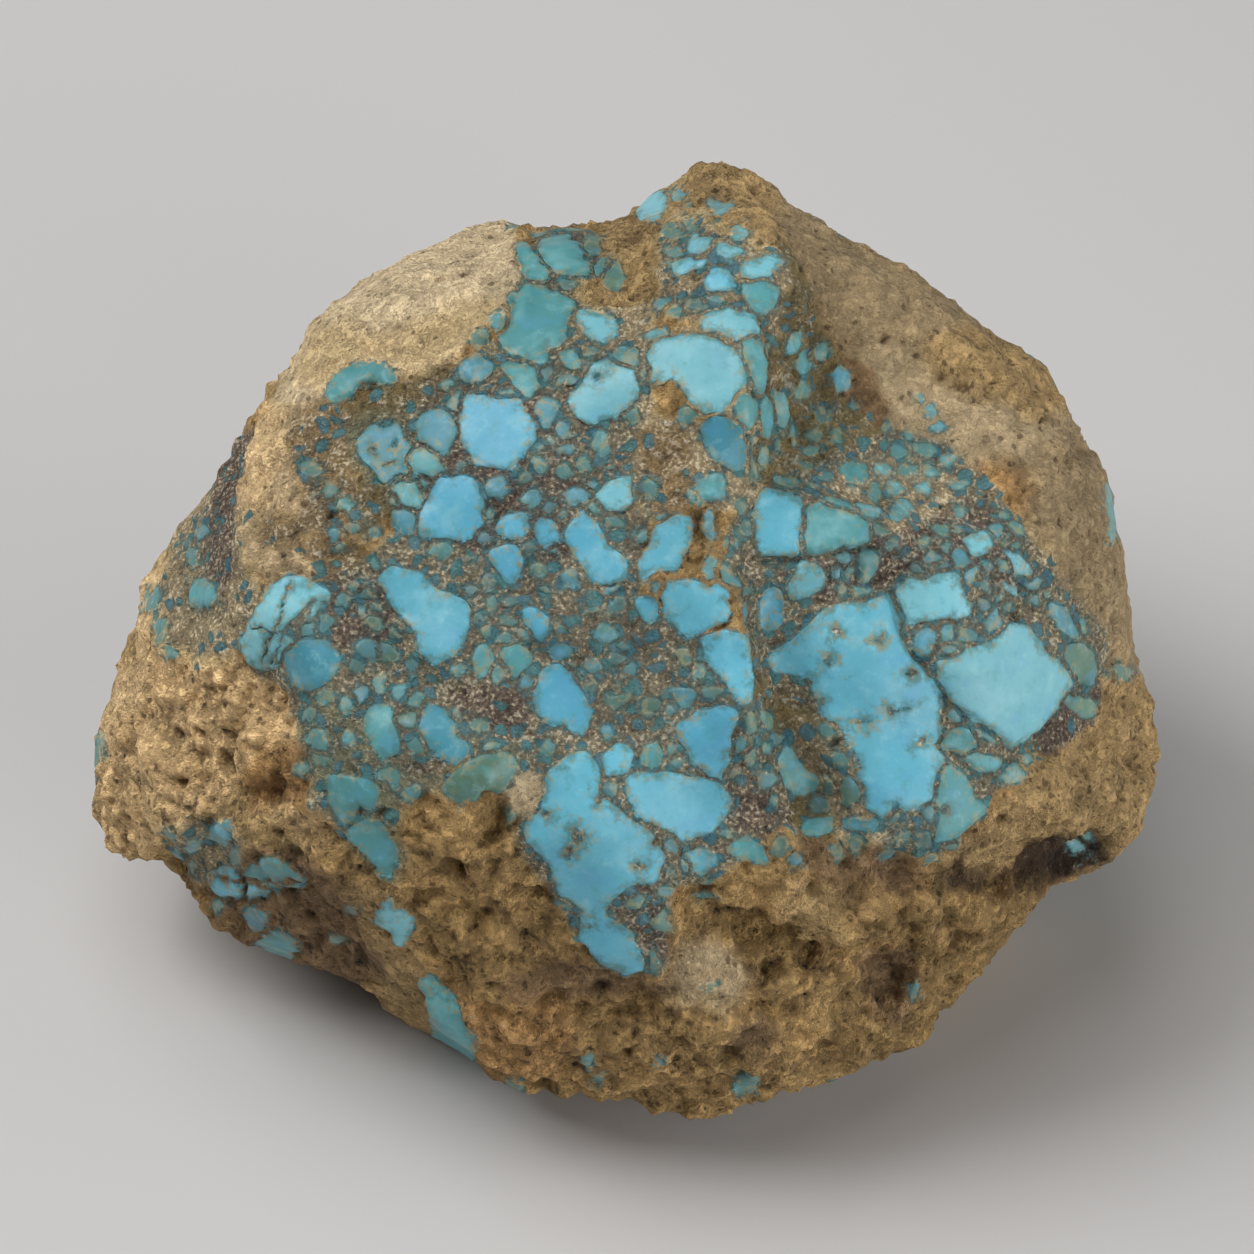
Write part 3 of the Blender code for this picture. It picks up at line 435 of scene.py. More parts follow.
# Carved relief on the show face: height in mm (down where negative), half width in mm, path on the chart.
CARVINGS: list[tuple[float, float, str]] = [
    (-0.55, 0.35, "752,560 780,563 805,560 830,554 870,550"),
    (-0.3, 0.4, "400,676 440,690 480,700 530,742"),
    (-0.9, 0.5, "488,800 500,812 492,832"),
    (-0.8, 0.5, "448,866 462,868"),
    (-0.6, 0.4, "425,898 445,906 470,900"),
    (0.35, 1.0, "520,240 520,290 505,320 480,343 450,362 425,374 390,372"),
    (-0.6, 0.35, "524,262 518,292 512,322 490,336 468,352 440,372 395,378"),
    (-1.3, 0.9, "1000,886 1035,872 1065,858 1098,848"),
    (-0.9, 0.5, "1052,852 1062,860"),
    (-0.8, 0.7, "745,935 760,925 780,930"),
    (-0.7, 0.6, "755,960 768,968"),
    (-0.5, 0.7, "874,960 890,972 890,992"),
    (0.8, 1.3, "790,900 840,930 880,915 930,905"),
    (-0.7, 0.7, "700,905 740,930 800,955 850,950"),
    (0.7, 1.1, "680,935 740,965 800,985"),
    (-0.6, 0.6, "640,985 700,1000 760,1010 820,1040"),
    (0.6, 1.0, "780,1030 850,1040 900,1020"),
    (-0.6, 0.6, "940,905 960,940 940,985"),
    (0.6, 1.0, "430,920 470,960 530,985"),
    (-0.6, 0.5, "480,1010 540,1035 600,1045"),
    (-0.6, 1.2, "560,1010 600,1018 640,1005"),
    (0.7, 1.3, "455,835 480,860 470,890"),
    (-0.8, 1.2, "410,905 425,950 450,985"),
    (-0.6, 0.5, "905,925 910,945"),
    (-0.6, 0.6, "735,1045 755,1035 775,1040"),
    (-0.45, 0.3, "890,592 905,640 920,662 935,680 943,700 942,740"),
    (-0.35, 0.25, "943,700 985,728 1010,748 1040,735 1085,685"),
    (-0.35, 0.25, "930,740 945,752 965,766 975,782"),
    (-0.5, 0.5, "160,852 172,866 185,872"),
    (-0.5, 0.4, "205,715 215,715"),
    (-0.5, 0.4, "215,690 225,688"),
    (-0.5, 0.4, "170,785 195,775"),
    (-0.5, 0.4, "228,738 245,728"),
    (-0.6, 0.6, "245,795 265,800 270,785"),
    (-0.5, 0.5, "1125,757 1142,765"),
    (-0.4, 0.35, "1078,790 1086,798"),
    (-0.35, 0.3, "1068,803 1070,810"),
    (-0.35, 0.3, "1098,815 1095,825"),
    (-0.4, 0.3, "854,340 858,344"),
    (-0.35, 0.3, "1074,532 1076,542"),
    (-0.4, 0.35, "1090,552 1094,557"),
    (-0.4, 0.5, "560,1018 575,1020"),
    (-0.45, 0.4, "985,375 1000,380"),
    (-0.35, 0.35, "1025,392 1035,393"),
    (-0.6, 0.6, "1080,448 1068,462"),
    (-0.4, 0.3, "200,898 240,902 280,893 310,890"),
    (0.5, 0.9, "700,168 745,205 778,255 800,310 806,370 800,430"),
    (-1.1, 2.2, "792,345 802,390 800,430 785,465"),
    (0.3, 0.45, "655,345 700,343 738,352 743,385 741,425"),
    (0.45, 0.45, "733,588 742,630 750,680 748,702"),
    (-1.0, 1.6, "772,610 782,680 800,760 818,815"),
    (0.4, 0.6, "756,490 800,494 835,510 866,528"),
    (0.5, 0.9, "330,400 280,420 255,470 250,530 250,565"),
    (-0.4, 0.7, "300,345 268,385 245,430 232,470"),
]


def chart_points(text: str) -> np.ndarray:
    """Reads an outline or a path.

    Args:
        text: points as "across,down across,down ...".

    Returns:
        One row of two numbers for each point.
    """
    return np.array([[float(v) for v in pair.split(",")] for pair in text.split()])


def screen_to_light(colour: tuple[float, ...]) -> np.ndarray:
    """Turns screen values from 0 to 255 into the linear values that a material takes."""
    share = np.array(colour, float) / 255.0
    return np.where(share <= 0.04045, share / 12.92, ((share + 0.055) / 1.055) ** 2.4)


def eased(value: np.ndarray, low: float, high: float) -> np.ndarray:
    """A smooth step from 0 at low to 1 at high."""
    share = np.clip((value - low) / (high - low), 0.0, 1.0)
    return share * share * (3.0 - 2.0 * share)


def rounded_outline(corners: np.ndarray, steps: int) -> np.ndarray:
    """Runs a closed smooth curve through an outline's points.

    Args:
        corners: the outline's points, in order.
        steps: how many points each stretch gets.

    Returns:
        The curve's points.
    """
    before, after, further = (np.roll(corners, shift, axis=0) for shift in (1, -1, -2))
    rows = []
    for step in range(steps):
        t = step / steps
        rows.append(0.5 * (2 * corners + (after - before) * t + (2 * before - 5 * corners + 4 * after - further) * t * t
                           + (3 * corners - before - 3 * after + further) * t ** 3))
    return np.stack(rows, axis=1).reshape(-1, 2)


def pebble_outline(across: float, down: float, wide: float, tall: float, turn: float) -> np.ndarray:
    """An uneven oval, from its middle, half width, half height and turn in degrees."""
    turns = np.linspace(0.0, 2.0 * math.pi, 16, endpoint=False)
    uneven = 1.0 + 0.12 * np.cos(2 * turns + across) + 0.1 * np.cos(3 * turns + down) + 0.07 * np.cos(5 * turns + across)
    x, y = wide * np.cos(turns) * uneven, tall * np.sin(turns) * uneven
    c, s = math.cos(math.radians(turn)), math.sin(math.radians(turn))
    return np.stack([across + x * c - y * s, down + x * s + y * c], axis=1)


def inside_distance(points: np.ndarray, outline: np.ndarray) -> np.ndarray:
    """Distance from each point to a closed outline, positive inside it.

    Args:
        points: rows of two numbers.
        outline: the outline's points, in order.

    Returns:
        One distance for each point, in the points' own unit.
    """
    start, end = outline, np.roll(outline, -1, axis=0)
    edge = end - start
    offset = points[:, None, :] - start[None]
    share = np.clip((offset * edge).sum(-1) / np.maximum((edge * edge).sum(-1), 1e-9), 0.0, 1.0)
    gap = offset - share[..., None] * edge
    distance = np.sqrt((gap * gap).sum(-1)).min(1)
    x, y = points[:, :1], points[:, 1:]
    crosses = (start[:, 1] > y) != (end[:, 1] > y)
    rise = np.where(edge[:, 1] == 0, 1e-9, edge[:, 1])
    at = start[:, 0] + (y - start[:, 1]) * edge[:, 0] / rise
    within = (crosses & (x < at)).sum(1) % 2 == 1
    return np.where(within, distance, -distance)


def path_distance(points: np.ndarray, path: np.ndarray) -> np.ndarray:
    """Distance from each point to an open path, in the points' own unit."""
    start, edge = path[:-1], path[1:] - path[:-1]
    offset = points[:, None, :] - start[None]
    share = np.clip((offset * edge).sum(-1) / np.maximum((edge * edge).sum(-1), 1e-9), 0.0, 1.0)
    gap = offset - share[..., None] * edge
    return np.sqrt((gap * gap).sum(-1)).min(1)


@dataclass(frozen=True)
class ShowFace:
    """The direction that the stone is shown from, and the chart laid over that side."""

    lean: float = math.radians(48.0)
    distance: float = 0.4
    centre: tuple[float, float, float] = (0.000426, -0.000563, 0.0219)
    aside: float = -0.0002
    above: float = 0.00087
    view_width: float = 0.0836

    @property
    def axes(self) -> tuple[Vector, Vector, Vector]:
        """Unit vectors to the right, up and out towards the viewer."""
        right = Vector((1.0, 0.0, 0.0))
        up = Vector((0.0, math.sin(self.lean), math.cos(self.lean)))
        return right, up, right.cross(up)

    @property
    def eye(self) -> Vector:
        """Where the viewer is."""
        right, up, out = self.axes
        return Vector(self.centre) + out * self.distance + right * self.aside + up * self.above

    def chart(self, places: np.ndarray) -> tuple[np.ndarray, np.ndarray]:
        """Finds where points of the stone fall on the chart.

        Args:
            places: rows of x, y and z in metres.

        Returns:
            Chart positions, and how far out each point is in mm.
        """
        offset = (places - np.array(self.centre)) / MM
        right, up, out = (offset @ np.array(axis) for axis in self.axes)
        spread = 1.0 / (1.0 - out * MM / self.distance)
        aside, above = self.aside / MM, self.above / MM
        across = ((right - aside) * spread + aside) * CHART_STEPS + CHART_MIDDLE[0]
        down = CHART_MIDDLE[1] - ((up - above) * spread + above) * CHART_STEPS
        return np.stack([across, down], axis=1), out


class Wiring:
    """One node tree, with short calls that add a node and wire its inputs."""

    def __init__(self, tree: bpy.types.NodeTree) -> None:
        """Keeps the tree that the calls add to."""
        self.tree = tree

    def feed(self, socket: bpy.types.NodeSocket, value: object) -> None:
        """Wires a socket to another one, or sets its value."""
        if isinstance(value, bpy.types.NodeSocket):
            self.tree.links.new(value, socket)
        else:
            socket.default_value = value

    def add(self, kind: str, feeds: dict[str | int, object] | None = None, **settings: object) -> bpy.types.Node:
        """Adds a node.

        Args:
            kind: the node's type name.
            feeds: what goes into its inputs, by name or number.
            **settings: the node's own options.

        Returns:
            The new node.
        """
        node = self.tree.nodes.new(kind)
        for name, value in settings.items():
            setattr(node, name, value)
        for key, value in (feeds or {}).items():
            self.feed(node.inputs[key], value)
        return node

    def math(self, operation: str, *values: object, clamp: bool = False) -> bpy.types.NodeSocket:
        """Adds one step of arithmetic and returns its result."""
        return self.add("ShaderNodeMath", dict(enumerate(values)), operation=operation, use_clamp=clamp).outputs[0]

    def most(self, *values: object) -> bpy.types.NodeSocket:
        """The largest of several numbers."""
        result = values[0]
        for value in values[1:]:
            result = self.math("MAXIMUM", result, value)
        return result

    def walled(self, first: object, second: object, third: object, fourth: object) -> tuple[object, object]:
        """The deepest of four depths, and how much deeper it is than the next one."""
        high, low = self.math("MAXIMUM", first, second), self.math("MINIMUM", first, second)
        far_high, far_low = self.math("MAXIMUM", third, fourth), self.math("MINIMUM", third, fourth)
        top = self.math("MAXIMUM", high, far_high)
        return top, self.math("SUBTRACT", top, self.most(self.math("MINIMUM", high, far_high), low, far_low))

    def total(self, *values: object) -> bpy.types.NodeSocket:
        """The sum of several numbers."""
        result = values[0]
        for value in values[1:]:
            result = self.math("ADD", result, value)
        return result

    def times(self, first: object, second: object) -> bpy.types.NodeSocket:
        """The product of two numbers."""
        return self.math("MULTIPLY", first, second)

    def ramp(self, value: object, low: float, high: float, start: float = 0.0, end: float = 1.0) -> bpy.types.NodeSocket:
        """A smooth step from start, where value is low, to end, where it is high."""
        node = self.add("ShaderNodeMapRange", {0: value, 1: low, 2: high, 3: start, 4: end}, interpolation_type="SMOOTHSTEP")
        return node.outputs[0]

    def line(self, value: object, low: float, high: float, start: float = 0.0, end: float = 1.0) -> bpy.types.NodeSocket:
        """A straight step from start, where value is low, to end, where it is high."""
        return self.add("ShaderNodeMapRange", {0: value, 1: low, 2: high, 3: start, 4: end}).outputs[0]

    def mix(self, share: object, first: object, second: object, manner: str = "MIX") -> bpy.types.NodeSocket:
        """Mixes two colours."""
        node = self.add("ShaderNodeMix", {0: share, 6: first, 7: second}, data_type="RGBA", blend_type=manner)
        return node.outputs[2]

    def cloud(self, place: object, size: float, detail: float = 4.0, rough: float = 0.55, bend: float = 0.0,
              kind: str = "FBM") -> bpy.types.Node:
        """A noise whose blotches are about size mm across."""
        return self.add("ShaderNodeTexNoise", {"Vector": place, "Scale": 1.0 / size, "Detail": detail, "Roughness": rough,
                                               "Distortion": bend}, noise_type=kind, normalize=True)

    def grains(self, place: object, size: float, feature: str = "F1") -> bpy.types.Node:
        """Cells about size mm across."""
        return self.add("ShaderNodeTexVoronoi", {"Vector": place, "Scale": 1.0 / size, "Randomness": 1.0}, feature=feature)

    def pushed(self, place: object, size: float, reach: float) -> bpy.types.NodeSocket:
        """Moves a place by a noise of that size, up to about reach mm."""
        noise_colour = self.cloud(place, size, 2.0).outputs["Color"]
        centred = self.add("ShaderNodeVectorMath", {0: noise_colour, 1: (0.5, 0.5, 0.5)}, operation="SUBTRACT").outputs[0]
        push = self.add("ShaderNodeVectorMath", {0: centred, "Scale": 2.0 * reach}, operation="SCALE").outputs[0]
        return self.add("ShaderNodeVectorMath", {0: place, 1: push}, operation="ADD").outputs[0]

    def chance(self, cells: bpy.types.Node) -> bpy.types.NodeSocket:
        """A number from 0 to 1 that each cell has of its own."""
        return self.add("ShaderNodeSeparateXYZ", {0: cells.outputs["Color"]}).outputs[0]


@dataclass(frozen=True)
class WildCobbles:
    """Turquoise cobbles where the chart doesn't reach: on the back, the flanks and the underside. Sizes in mm."""

    spacing: float = 4.2
    least: float = 0.9
    most: float = 3.1
    web: float = 0.16
    share: float = 0.72
    neighbours: int = 6
    layers: int = 4
    seed: int = 11

    def seeds(self, places: np.ndarray) -> tuple[np.ndarray, np.ndarray, np.ndarray]:
        """Scatters the cobbles' middles through the stone's skin.

        Args:
            places: the skin's corners, in mm.

        Returns:
            The middles, each one's reach, and each one's layer.
        """
        draw = np.random.default_rng(self.seed)
        low, high = places.min(0) - self.spacing, places.max(0) + self.spacing
        steps = [np.arange(start, end, self.spacing) for start, end in zip(low, high)]
        grid = np.stack(np.meshgrid(*steps, indexing="ij"), axis=-1).reshape(-1, 3)
        middles = grid + draw.uniform(-0.45, 0.45, grid.shape) * self.spacing
        reach = draw.uniform(self.least, self.most, len(middles))
        reach[draw.random(len(middles)) > self.share] = -1.0
        number = ((grid - low) / self.spacing).round().astype(int)
        layer = (number[:, 0] % 2 + 2 * (number[:, 1] % 2) + number[:, 2] * 3) % self.layers
        return middles, reach, layer

    def layers_of(self, places: np.ndarray) -> tuple[np.ndarray, np.ndarray]:
        """Measures how deep each place is in the cobbles.

        Args:
            places: rows of x, y and z in mm.

        Returns:
            One row of depths for each layer, and the number of the nearest cobble.
        """
        middles, reach, layer = self.seeds(places)
        tree = kdtree.KDTree(len(middles))
        for number, middle in enumerate(middles):
            tree.insert(middle, number)
        tree.balance()
        near = np.array([[hit[1] for hit in tree.find_n(p, self.neighbours)] for p in places.tolist()])
        rows = np.full((self.layers, len(places)), -2.0)
        gaps = np.linalg.norm(places[:, None] - middles[near], axis=-1)
        everyone = np.arange(len(places))
        for own in range(3):
            middle = middles[near[:, own]]
            deep = reach[near[:, own]] - gaps[:, own]
            for other in range(self.neighbours):
                if other == own:
                    continue
                apart = np.linalg.norm(middles[near[:, other]] - middle, axis=1)
                plane = (gaps[:, other] ** 2 - gaps[:, own] ** 2) / (2.0 * apart) - self.web
                deep = np.minimum(deep, plane)
            target = layer[near[:, own]]
            rows[target, everyone] = np.maximum(rows[target, everyone], deep)
        return rows, near[:, 0]


@dataclass
class Relief:
    """The small relief of the broken skin, grown over the stone by a node tree. Sizes are in mm."""

    nodule_rise: float = 0.06
    nodule_shoulder: float = 0.5
    lump_size: float = 3.0
    lump_height: float = 3.0
    crumb_size: float = 1.5
    crumb_height: float = 0.95
    rough_size: float = 0.8
    rough_height: float = 0.9
    pit_size: float = 1.7
    pit_depth: float = 0.5

    def inputs(self) -> dict[str, float]:
        """The tree's own named inputs."""
        return {
            "Nodule Rise": self.nodule_rise, "Nodule Shoulder": self.nodule_shoulder,
            "Lump Size": self.lump_size, "Lump Height": self.lump_height,
            "Crumb Size": self.crumb_size, "Crumb Height": self.crumb_height,
            "Rough Size": self.rough_size, "Rough Height": self.rough_height,
            "Pit Size": self.pit_size, "Pit Depth": self.pit_depth, "Seed": float(RELIEF_SEED),
        }

    def tree(self, finish: bpy.types.Material) -> bpy.types.NodeTree:
        """Builds the node tree.

        Args:
            finish: the material that the result gets.

        Returns:
            The tree, ready for a modifier.
        """
        tree = bpy.data.node_groups.new("stone_relief", "GeometryNodeTree")
        tree.interface.new_socket(name="Geometry", in_out="INPUT", socket_type="NodeSocketGeometry")
        for name in self.inputs():
            tree.interface.new_socket(name=name, in_out="INPUT", socket_type="NodeSocketFloat")
        tree.interface.new_socket(name="Geometry", in_out="OUTPUT", socket_type="NodeSocketGeometry")
        wires = Wiring(tree)
        given = tree.nodes.new("NodeGroupInput").outputs
        seed_push = wires.add("ShaderNodeCombineXYZ", {0: given["Seed"], 1: given["Seed"], 2: given["Seed"]}).outputs[0]
        in_mm = wires.add("ShaderNodeVectorMath", {0: wires.add("GeometryNodeInputPosition").outputs[0],
                                                   "Scale": 1.0 / MM}, operation="SCALE").outputs[0]
        seeded = wires.add("ShaderNodeVectorMath", {0: in_mm, 1: seed_push}, operation="ADD").outputs[0]

        def held(name: str, kind: str = "FLOAT") -> bpy.types.NodeSocket:
            return wires.add("GeometryNodeInputNamedAttribute", {"Name": name}, data_type=kind).outputs[0]

        def swell(size: object, detail: float, rough: float) -> bpy.types.NodeSocket:
            scale = wires.math("DIVIDE", 1.0, size)
            node = wires.add("ShaderNodeTexNoise", {"Vector": seeded, "Scale": scale, "Detail": detail,
                                                    "Roughness": rough}, normalize=True)
            return wires.math("SUBTRACT", node.outputs[0], 0.5)

        def cells(size: object, reach: float) -> bpy.types.Node:
            scale = wires.math("DIVIDE", 1.0, size)
            return wires.add("ShaderNodeTexVoronoi", {"Vector": wires.pushed(seeded, 0.9, reach), "Scale": scale})

        pitting, _, lumpy = wires.add("ShaderNodeSeparateXYZ", {0: held("manner", "FLOAT_VECTOR")}).outputs
        nodule = wires.most(*(held(f"cobbles_{number}") for number in range(1, 5)))
        rock = wires.ramp(nodule, -0.15, 0.2, 1.0, 0.0)
        dome = wires.add("ShaderNodeMapRange", {0: nodule, 1: -0.1, 2: given["Nodule Shoulder"], 3: 0.0, 4: 1.0},
                         interpolation_type="SMOOTHERSTEP").outputs[0]
        lumps = wires.times(swell(given["Lump Size"], 3.0, 0.55), given["Lump Height"])
        crumbs = wires.times(wires.math("SUBTRACT", 0.45, cells(given["Crumb Size"], 0.7).outputs["Distance"]),
                             given["Crumb Height"])
        roughness = wires.times(swell(given["Rough Size"], 3.0, 0.65), given["Rough Height"])
        crust = wires.total(wires.times(wires.total(lumps, crumbs), lumpy), roughness)
        pits = cells(given["Pit Size"], 0.4)
        chosen = wires.math("LESS_THAN", wires.chance(pits), wires.times(pitting, 0.5))
        pit = wires.times(wires.times(wires.ramp(pits.outputs["Distance"], 0.1, 0.36, 1.0, 0.0), chosen), rock)
        waves = wires.times(swell(2.4, 2.0, 0.5), 0.3)
        height = wires.total(wires.times(dome, given["Nodule Rise"]), wires.times(crust, rock), waves, held("carve"),
                             wires.times(wires.times(pit, given["Pit Depth"]), -1.0))
        offset = wires.add("ShaderNodeVectorMath", {0: wires.add("GeometryNodeInputNormal").outputs[0],
                                                    "Scale": wires.times(height, MM)}, operation="SCALE").outputs[0]
        kept = wires.add("GeometryNodeStoreNamedAttribute", {"Geometry": given["Geometry"], "Name": "pit", "Value": pit},
                         data_type="FLOAT", domain="POINT")
        high = wires.add("GeometryNodeStoreNamedAttribute", {"Geometry": kept.outputs[0], "Name": "crown",
                                                             "Value": wires.times(crust, rock)},
                         data_type="FLOAT", domain="POINT")
        moved = wires.add("GeometryNodeSetPosition", {"Geometry": high.outputs[0], "Offset": offset})
        real = wires.add("GeometryNodeRealizeInstances", {0: moved.outputs[0]})
        dressed = wires.add("GeometryNodeSetMaterial", {"Geometry": real.outputs[0], "Material": finish})
        wires.add("NodeGroupOutput", {0: dressed.outputs[0]})
        return tree


@dataclass(frozen=True)
class SharedGrain:
    """The patterns that turquoise and rock both take their variation from.

    Broad and fine blotches, how near the rim of its crumb a place is, and two numbers that each crumb draws by luck.
    """

    place: bpy.types.NodeSocket
    bent: bpy.types.NodeSocket
    broad: bpy.types.NodeSocket
    fine: bpy.types.NodeSocket
    rim: bpy.types.NodeSocket
    luck: bpy.types.NodeSocket
    twin: bpy.types.NodeSocket

    @classmethod
    def lay(cls, wires: Wiring, place: bpy.types.NodeSocket) -> "SharedGrain":
        """Adds the pattern nodes to a material's tree."""
        fine = wires.cloud(place, FINE, 5.0, 0.68).outputs[0]
        bent = wires.pushed(place, 0.9, 0.2)
        crumbs = wires.grains(bent, CRUMB)
        rim = wires.total(crumbs.outputs["Distance"], wires.line(fine, 0.3, 0.7, -0.24, 0.24))
        luck = wires.add("ShaderNodeSeparateXYZ", {0: crumbs.outputs["Color"]}).outputs
        return cls(place, bent, wires.cloud(place, 2.4, 3.0, 0.6).outputs[0], fine, rim,
                   luck[0], luck[1])


def rgba(colour: tuple[float, ...]) -> tuple[float, float, float, float]:
    """A screen colour as a socket's four linear values."""
    red, green, blue = screen_to_light(colour)
    return float(red), float(green), float(blue), 1.0


@dataclass(frozen=True)
class TurquoiseFinish:
    """Waxy turquoise: softly clouded, darker and greener at its edges, with straw-coloured hairs reaching in."""

    edge: tuple[float, float, float] = (82, 126, 122)
    cloud: tuple[float, float, float] = (160, 214, 220)
    cool: tuple[float, float, float] = (90, 156, 196)
    straw: tuple[float, float, float] = (156, 148, 108)
    rough: float = 0.45
    edge_width: float = 0.6
    straw_width: float = 0.95

    def colour(self, wires: Wiring, grain: SharedGrain, tint: bpy.types.NodeSocket,
               nodule: bpy.types.NodeSocket) -> bpy.types.NodeSocket:
        """Adds the nodes that colour the turquoise.

        Args:
            wires: the material's tree.
            grain: the shared patterns.
            tint: the cobble's own colour.
            nodule: the depth inside the cobble, in mm.

        Returns:
            The colour.
        """
        colour = wires.mix(wires.ramp(grain.broad, 0.5, 0.72, 0.0, 0.3), tint, rgba(self.cloud))
        colour = wires.mix(wires.ramp(grain.fine, 0.52, 0.76, 0.0, 0.34), colour, rgba(self.cloud))
        colour = wires.mix(wires.ramp(grain.broad, 0.46, 0.3, 0.0, 0.35), colour, rgba(self.cool))
        colour = wires.mix(wires.ramp(grain.fine, 0.48, 0.26, 0.0, 0.5), colour, rgba(Tint.TEAL.value))
        frayed = wires.total(nodule, wires.line(grain.fine, 0.3, 0.7, -0.24, 0.24))
        colour = wires.mix(wires.ramp(frayed, -0.05, self.edge_width, 0.72, 0.0), colour, rgba(self.edge))
        reaching = wires.ramp(nodule, 0.0, self.straw_width, 1.0, 0.0)
        hair = wires.times(wires.ramp(grain.rim, 0.54, 0.68), wires.ramp(grain.broad, 0.4, 0.54))
        return wires.mix(wires.times(wires.times(hair, reaching), 0.6), colour, rgba(self.straw))


@dataclass(frozen=True)
class RockFinish:
    """Host rock: crumbly, pitted, stained, and in the web a fine dark grain with pale specks and small cells. Its
    colour also carries painted shade in hollows, creases and holes and painted highlight on crowns.
    """

    dark: tuple[float, float, float] = (54, 47, 48)
    plum: tuple[float, float, float] = (118, 108, 103)
    brown: tuple[float, float, float] = (146, 129, 103)
    sand: tuple[float, float, float] = (214, 198, 164)
    chalk: tuple[float, float, float] = (246, 236, 214)
    # Painted shade: the dark brown that holes, hollows and creases are darkened towards.
    pit: tuple[float, float, float] = (84, 62, 42)
    stain: tuple[float, float, float] = (164, 124, 74)
    cell: tuple[float, float, float] = (98, 152, 166)
    halo: tuple[float, float, float] = (84, 108, 104)
    rough: float = 0.86
    grit_size: float = 0.27
    cell_size: float = 1.15
    wall: float = 0.07

    def web(self, wires: Wiring, grain: SharedGrain, ground: bpy.types.NodeSocket) -> bpy.types.NodeSocket:
        """The web's speckled colour."""
        grit = wires.cloud(grain.place, self.grit_size, 1.0, 0.5).outputs[0]
        clump = wires.total(wires.line(grain.broad, 0.3, 0.7, -0.09, 0.09), wires.line(grain.fine, 0.3, 0.7, -0.12, 0.12))
        ramp = wires.add("ShaderNodeValToRGB", {0: wires.total(grit, clump)})
        stops = [(0.35, self.dark), (0.46, self.plum), (0.56, self.brown), (0.62, self.sand), (0.68, self.chalk)]
        while len(ramp.color_ramp.elements) < len(stops):
            ramp.color_ramp.elements.new(0.5)
        for element, (at, colour) in zip(ramp.color_ramp.elements, stops):
            element.position = at
            element.color = rgba(colour)
        return wires.mix(0.34, ramp.outputs[0], ground)

    def broken(self, wires: Wiring, grain: SharedGrain, held: dict[str, bpy.types.NodeSocket]) -> bpy.types.NodeSocket:
        """The rock's colour, broken up by crumbs and stains, with painted shade in the relief's hollows, creases, gaps
        and small holes and painted highlight on its crowns.
        """
        strong = wires.line(held["lumpy"], 0.2, 1.0, 0.45, 1.35)
        # Painted shade and highlight, partly: brightness follows the grown crown and the fine noise that also makes the
        # bump, darker where they are low and lighter where they are high; the broad blotches and each crumb's luck are
        # the rock's own tone.
        shade = wires.total(wires.line(grain.broad, 0.3, 0.7, -0.28, 0.28),
                            wires.times(wires.line(grain.fine, 0.3, 0.7, -0.62, 0.62), strong),
                            wires.line(held["crown"], -0.5, 0.5, -0.42, 0.36), wires.line(grain.luck, 0.0, 1.0, -0.12, 0.12), 1.34)
        ground = wires.add("ShaderNodeVectorMath", {0: held["ground"], "Scale": shade}, operation="SCALE").outputs[0]
        stained = wires.times(wires.ramp(grain.broad, 0.5, 0.68, 0.0, 0.5), held["lumpy"])
        ground = wires.mix(stained, ground, wires.mix(0.5, ground, rgba(self.stain)))
        lighter = wires.add("ShaderNodeVectorMath", {0: ground, "Scale": 1.4}, operation="SCALE").outputs[0]
        ground = wires.mix(wires.times(wires.ramp(grain.twin, 0.7, 0.8, 0.0, 0.6), wires.ramp(grain.rim, 0.5, 0.3)), ground, lighter)
        # Painted shade: small holes, the fine relief's hollows and creases, and the grown pits are darkened towards the
        # pit brown.
        often = wires.times(held["pitting"], wires.line(grain.broad, 0.35, 0.65, 0.42, 0.06))
        sunk = wires.times(wires.math("LESS_THAN", grain.luck, often), wires.ramp(grain.rim, 0.5, 0.34))
        crease = wires.ramp(wires.math("ABSOLUTE", wires.math("SUBTRACT", grain.fine, 0.5)), 0.022, 0.004)
        hollow_shade = wires.times(wires.most(wires.ramp(grain.fine, 0.42, 0.3), wires.times(crease, 0.7)),
                             wires.line(held["pitting"], 0.0, 1.0, 0.4, 0.75))
        holes = wires.most(wires.times(sunk, 0.8), hollow_shade, wires.times(held["pit"], 0.75))
        return wires.mix(holes, ground, wires.mix(0.7, ground, rgba(self.pit), "MULTIPLY"))

    def colour(self, wires: Wiring, grain: SharedGrain, held: dict[str, bpy.types.NodeSocket],
               nodule: bpy.types.NodeSocket) -> tuple[bpy.types.NodeSocket, bpy.types.NodeSocket]:
        """Adds the nodes that colour the rock.

        Args:
            wires: the material's tree.
            grain: the shared patterns.
            held: what the mesh says of its ground: colour, pitting, grain, lumps, cells, pits and crown.
            nodule: the depth inside a cobble, in mm.

        Returns:
            The colour, and how much of it is a small turquoise cell.
        """
        ground = self.broken(wires, grain, held)
        cover = wires.ramp(wires.total(held["grain"], wires.line(grain.fine, 0.3, 0.7, -0.35, 0.35)), 0.2, 0.8)
        ground = wires.mix(cover, ground, self.web(wires, grain, ground))

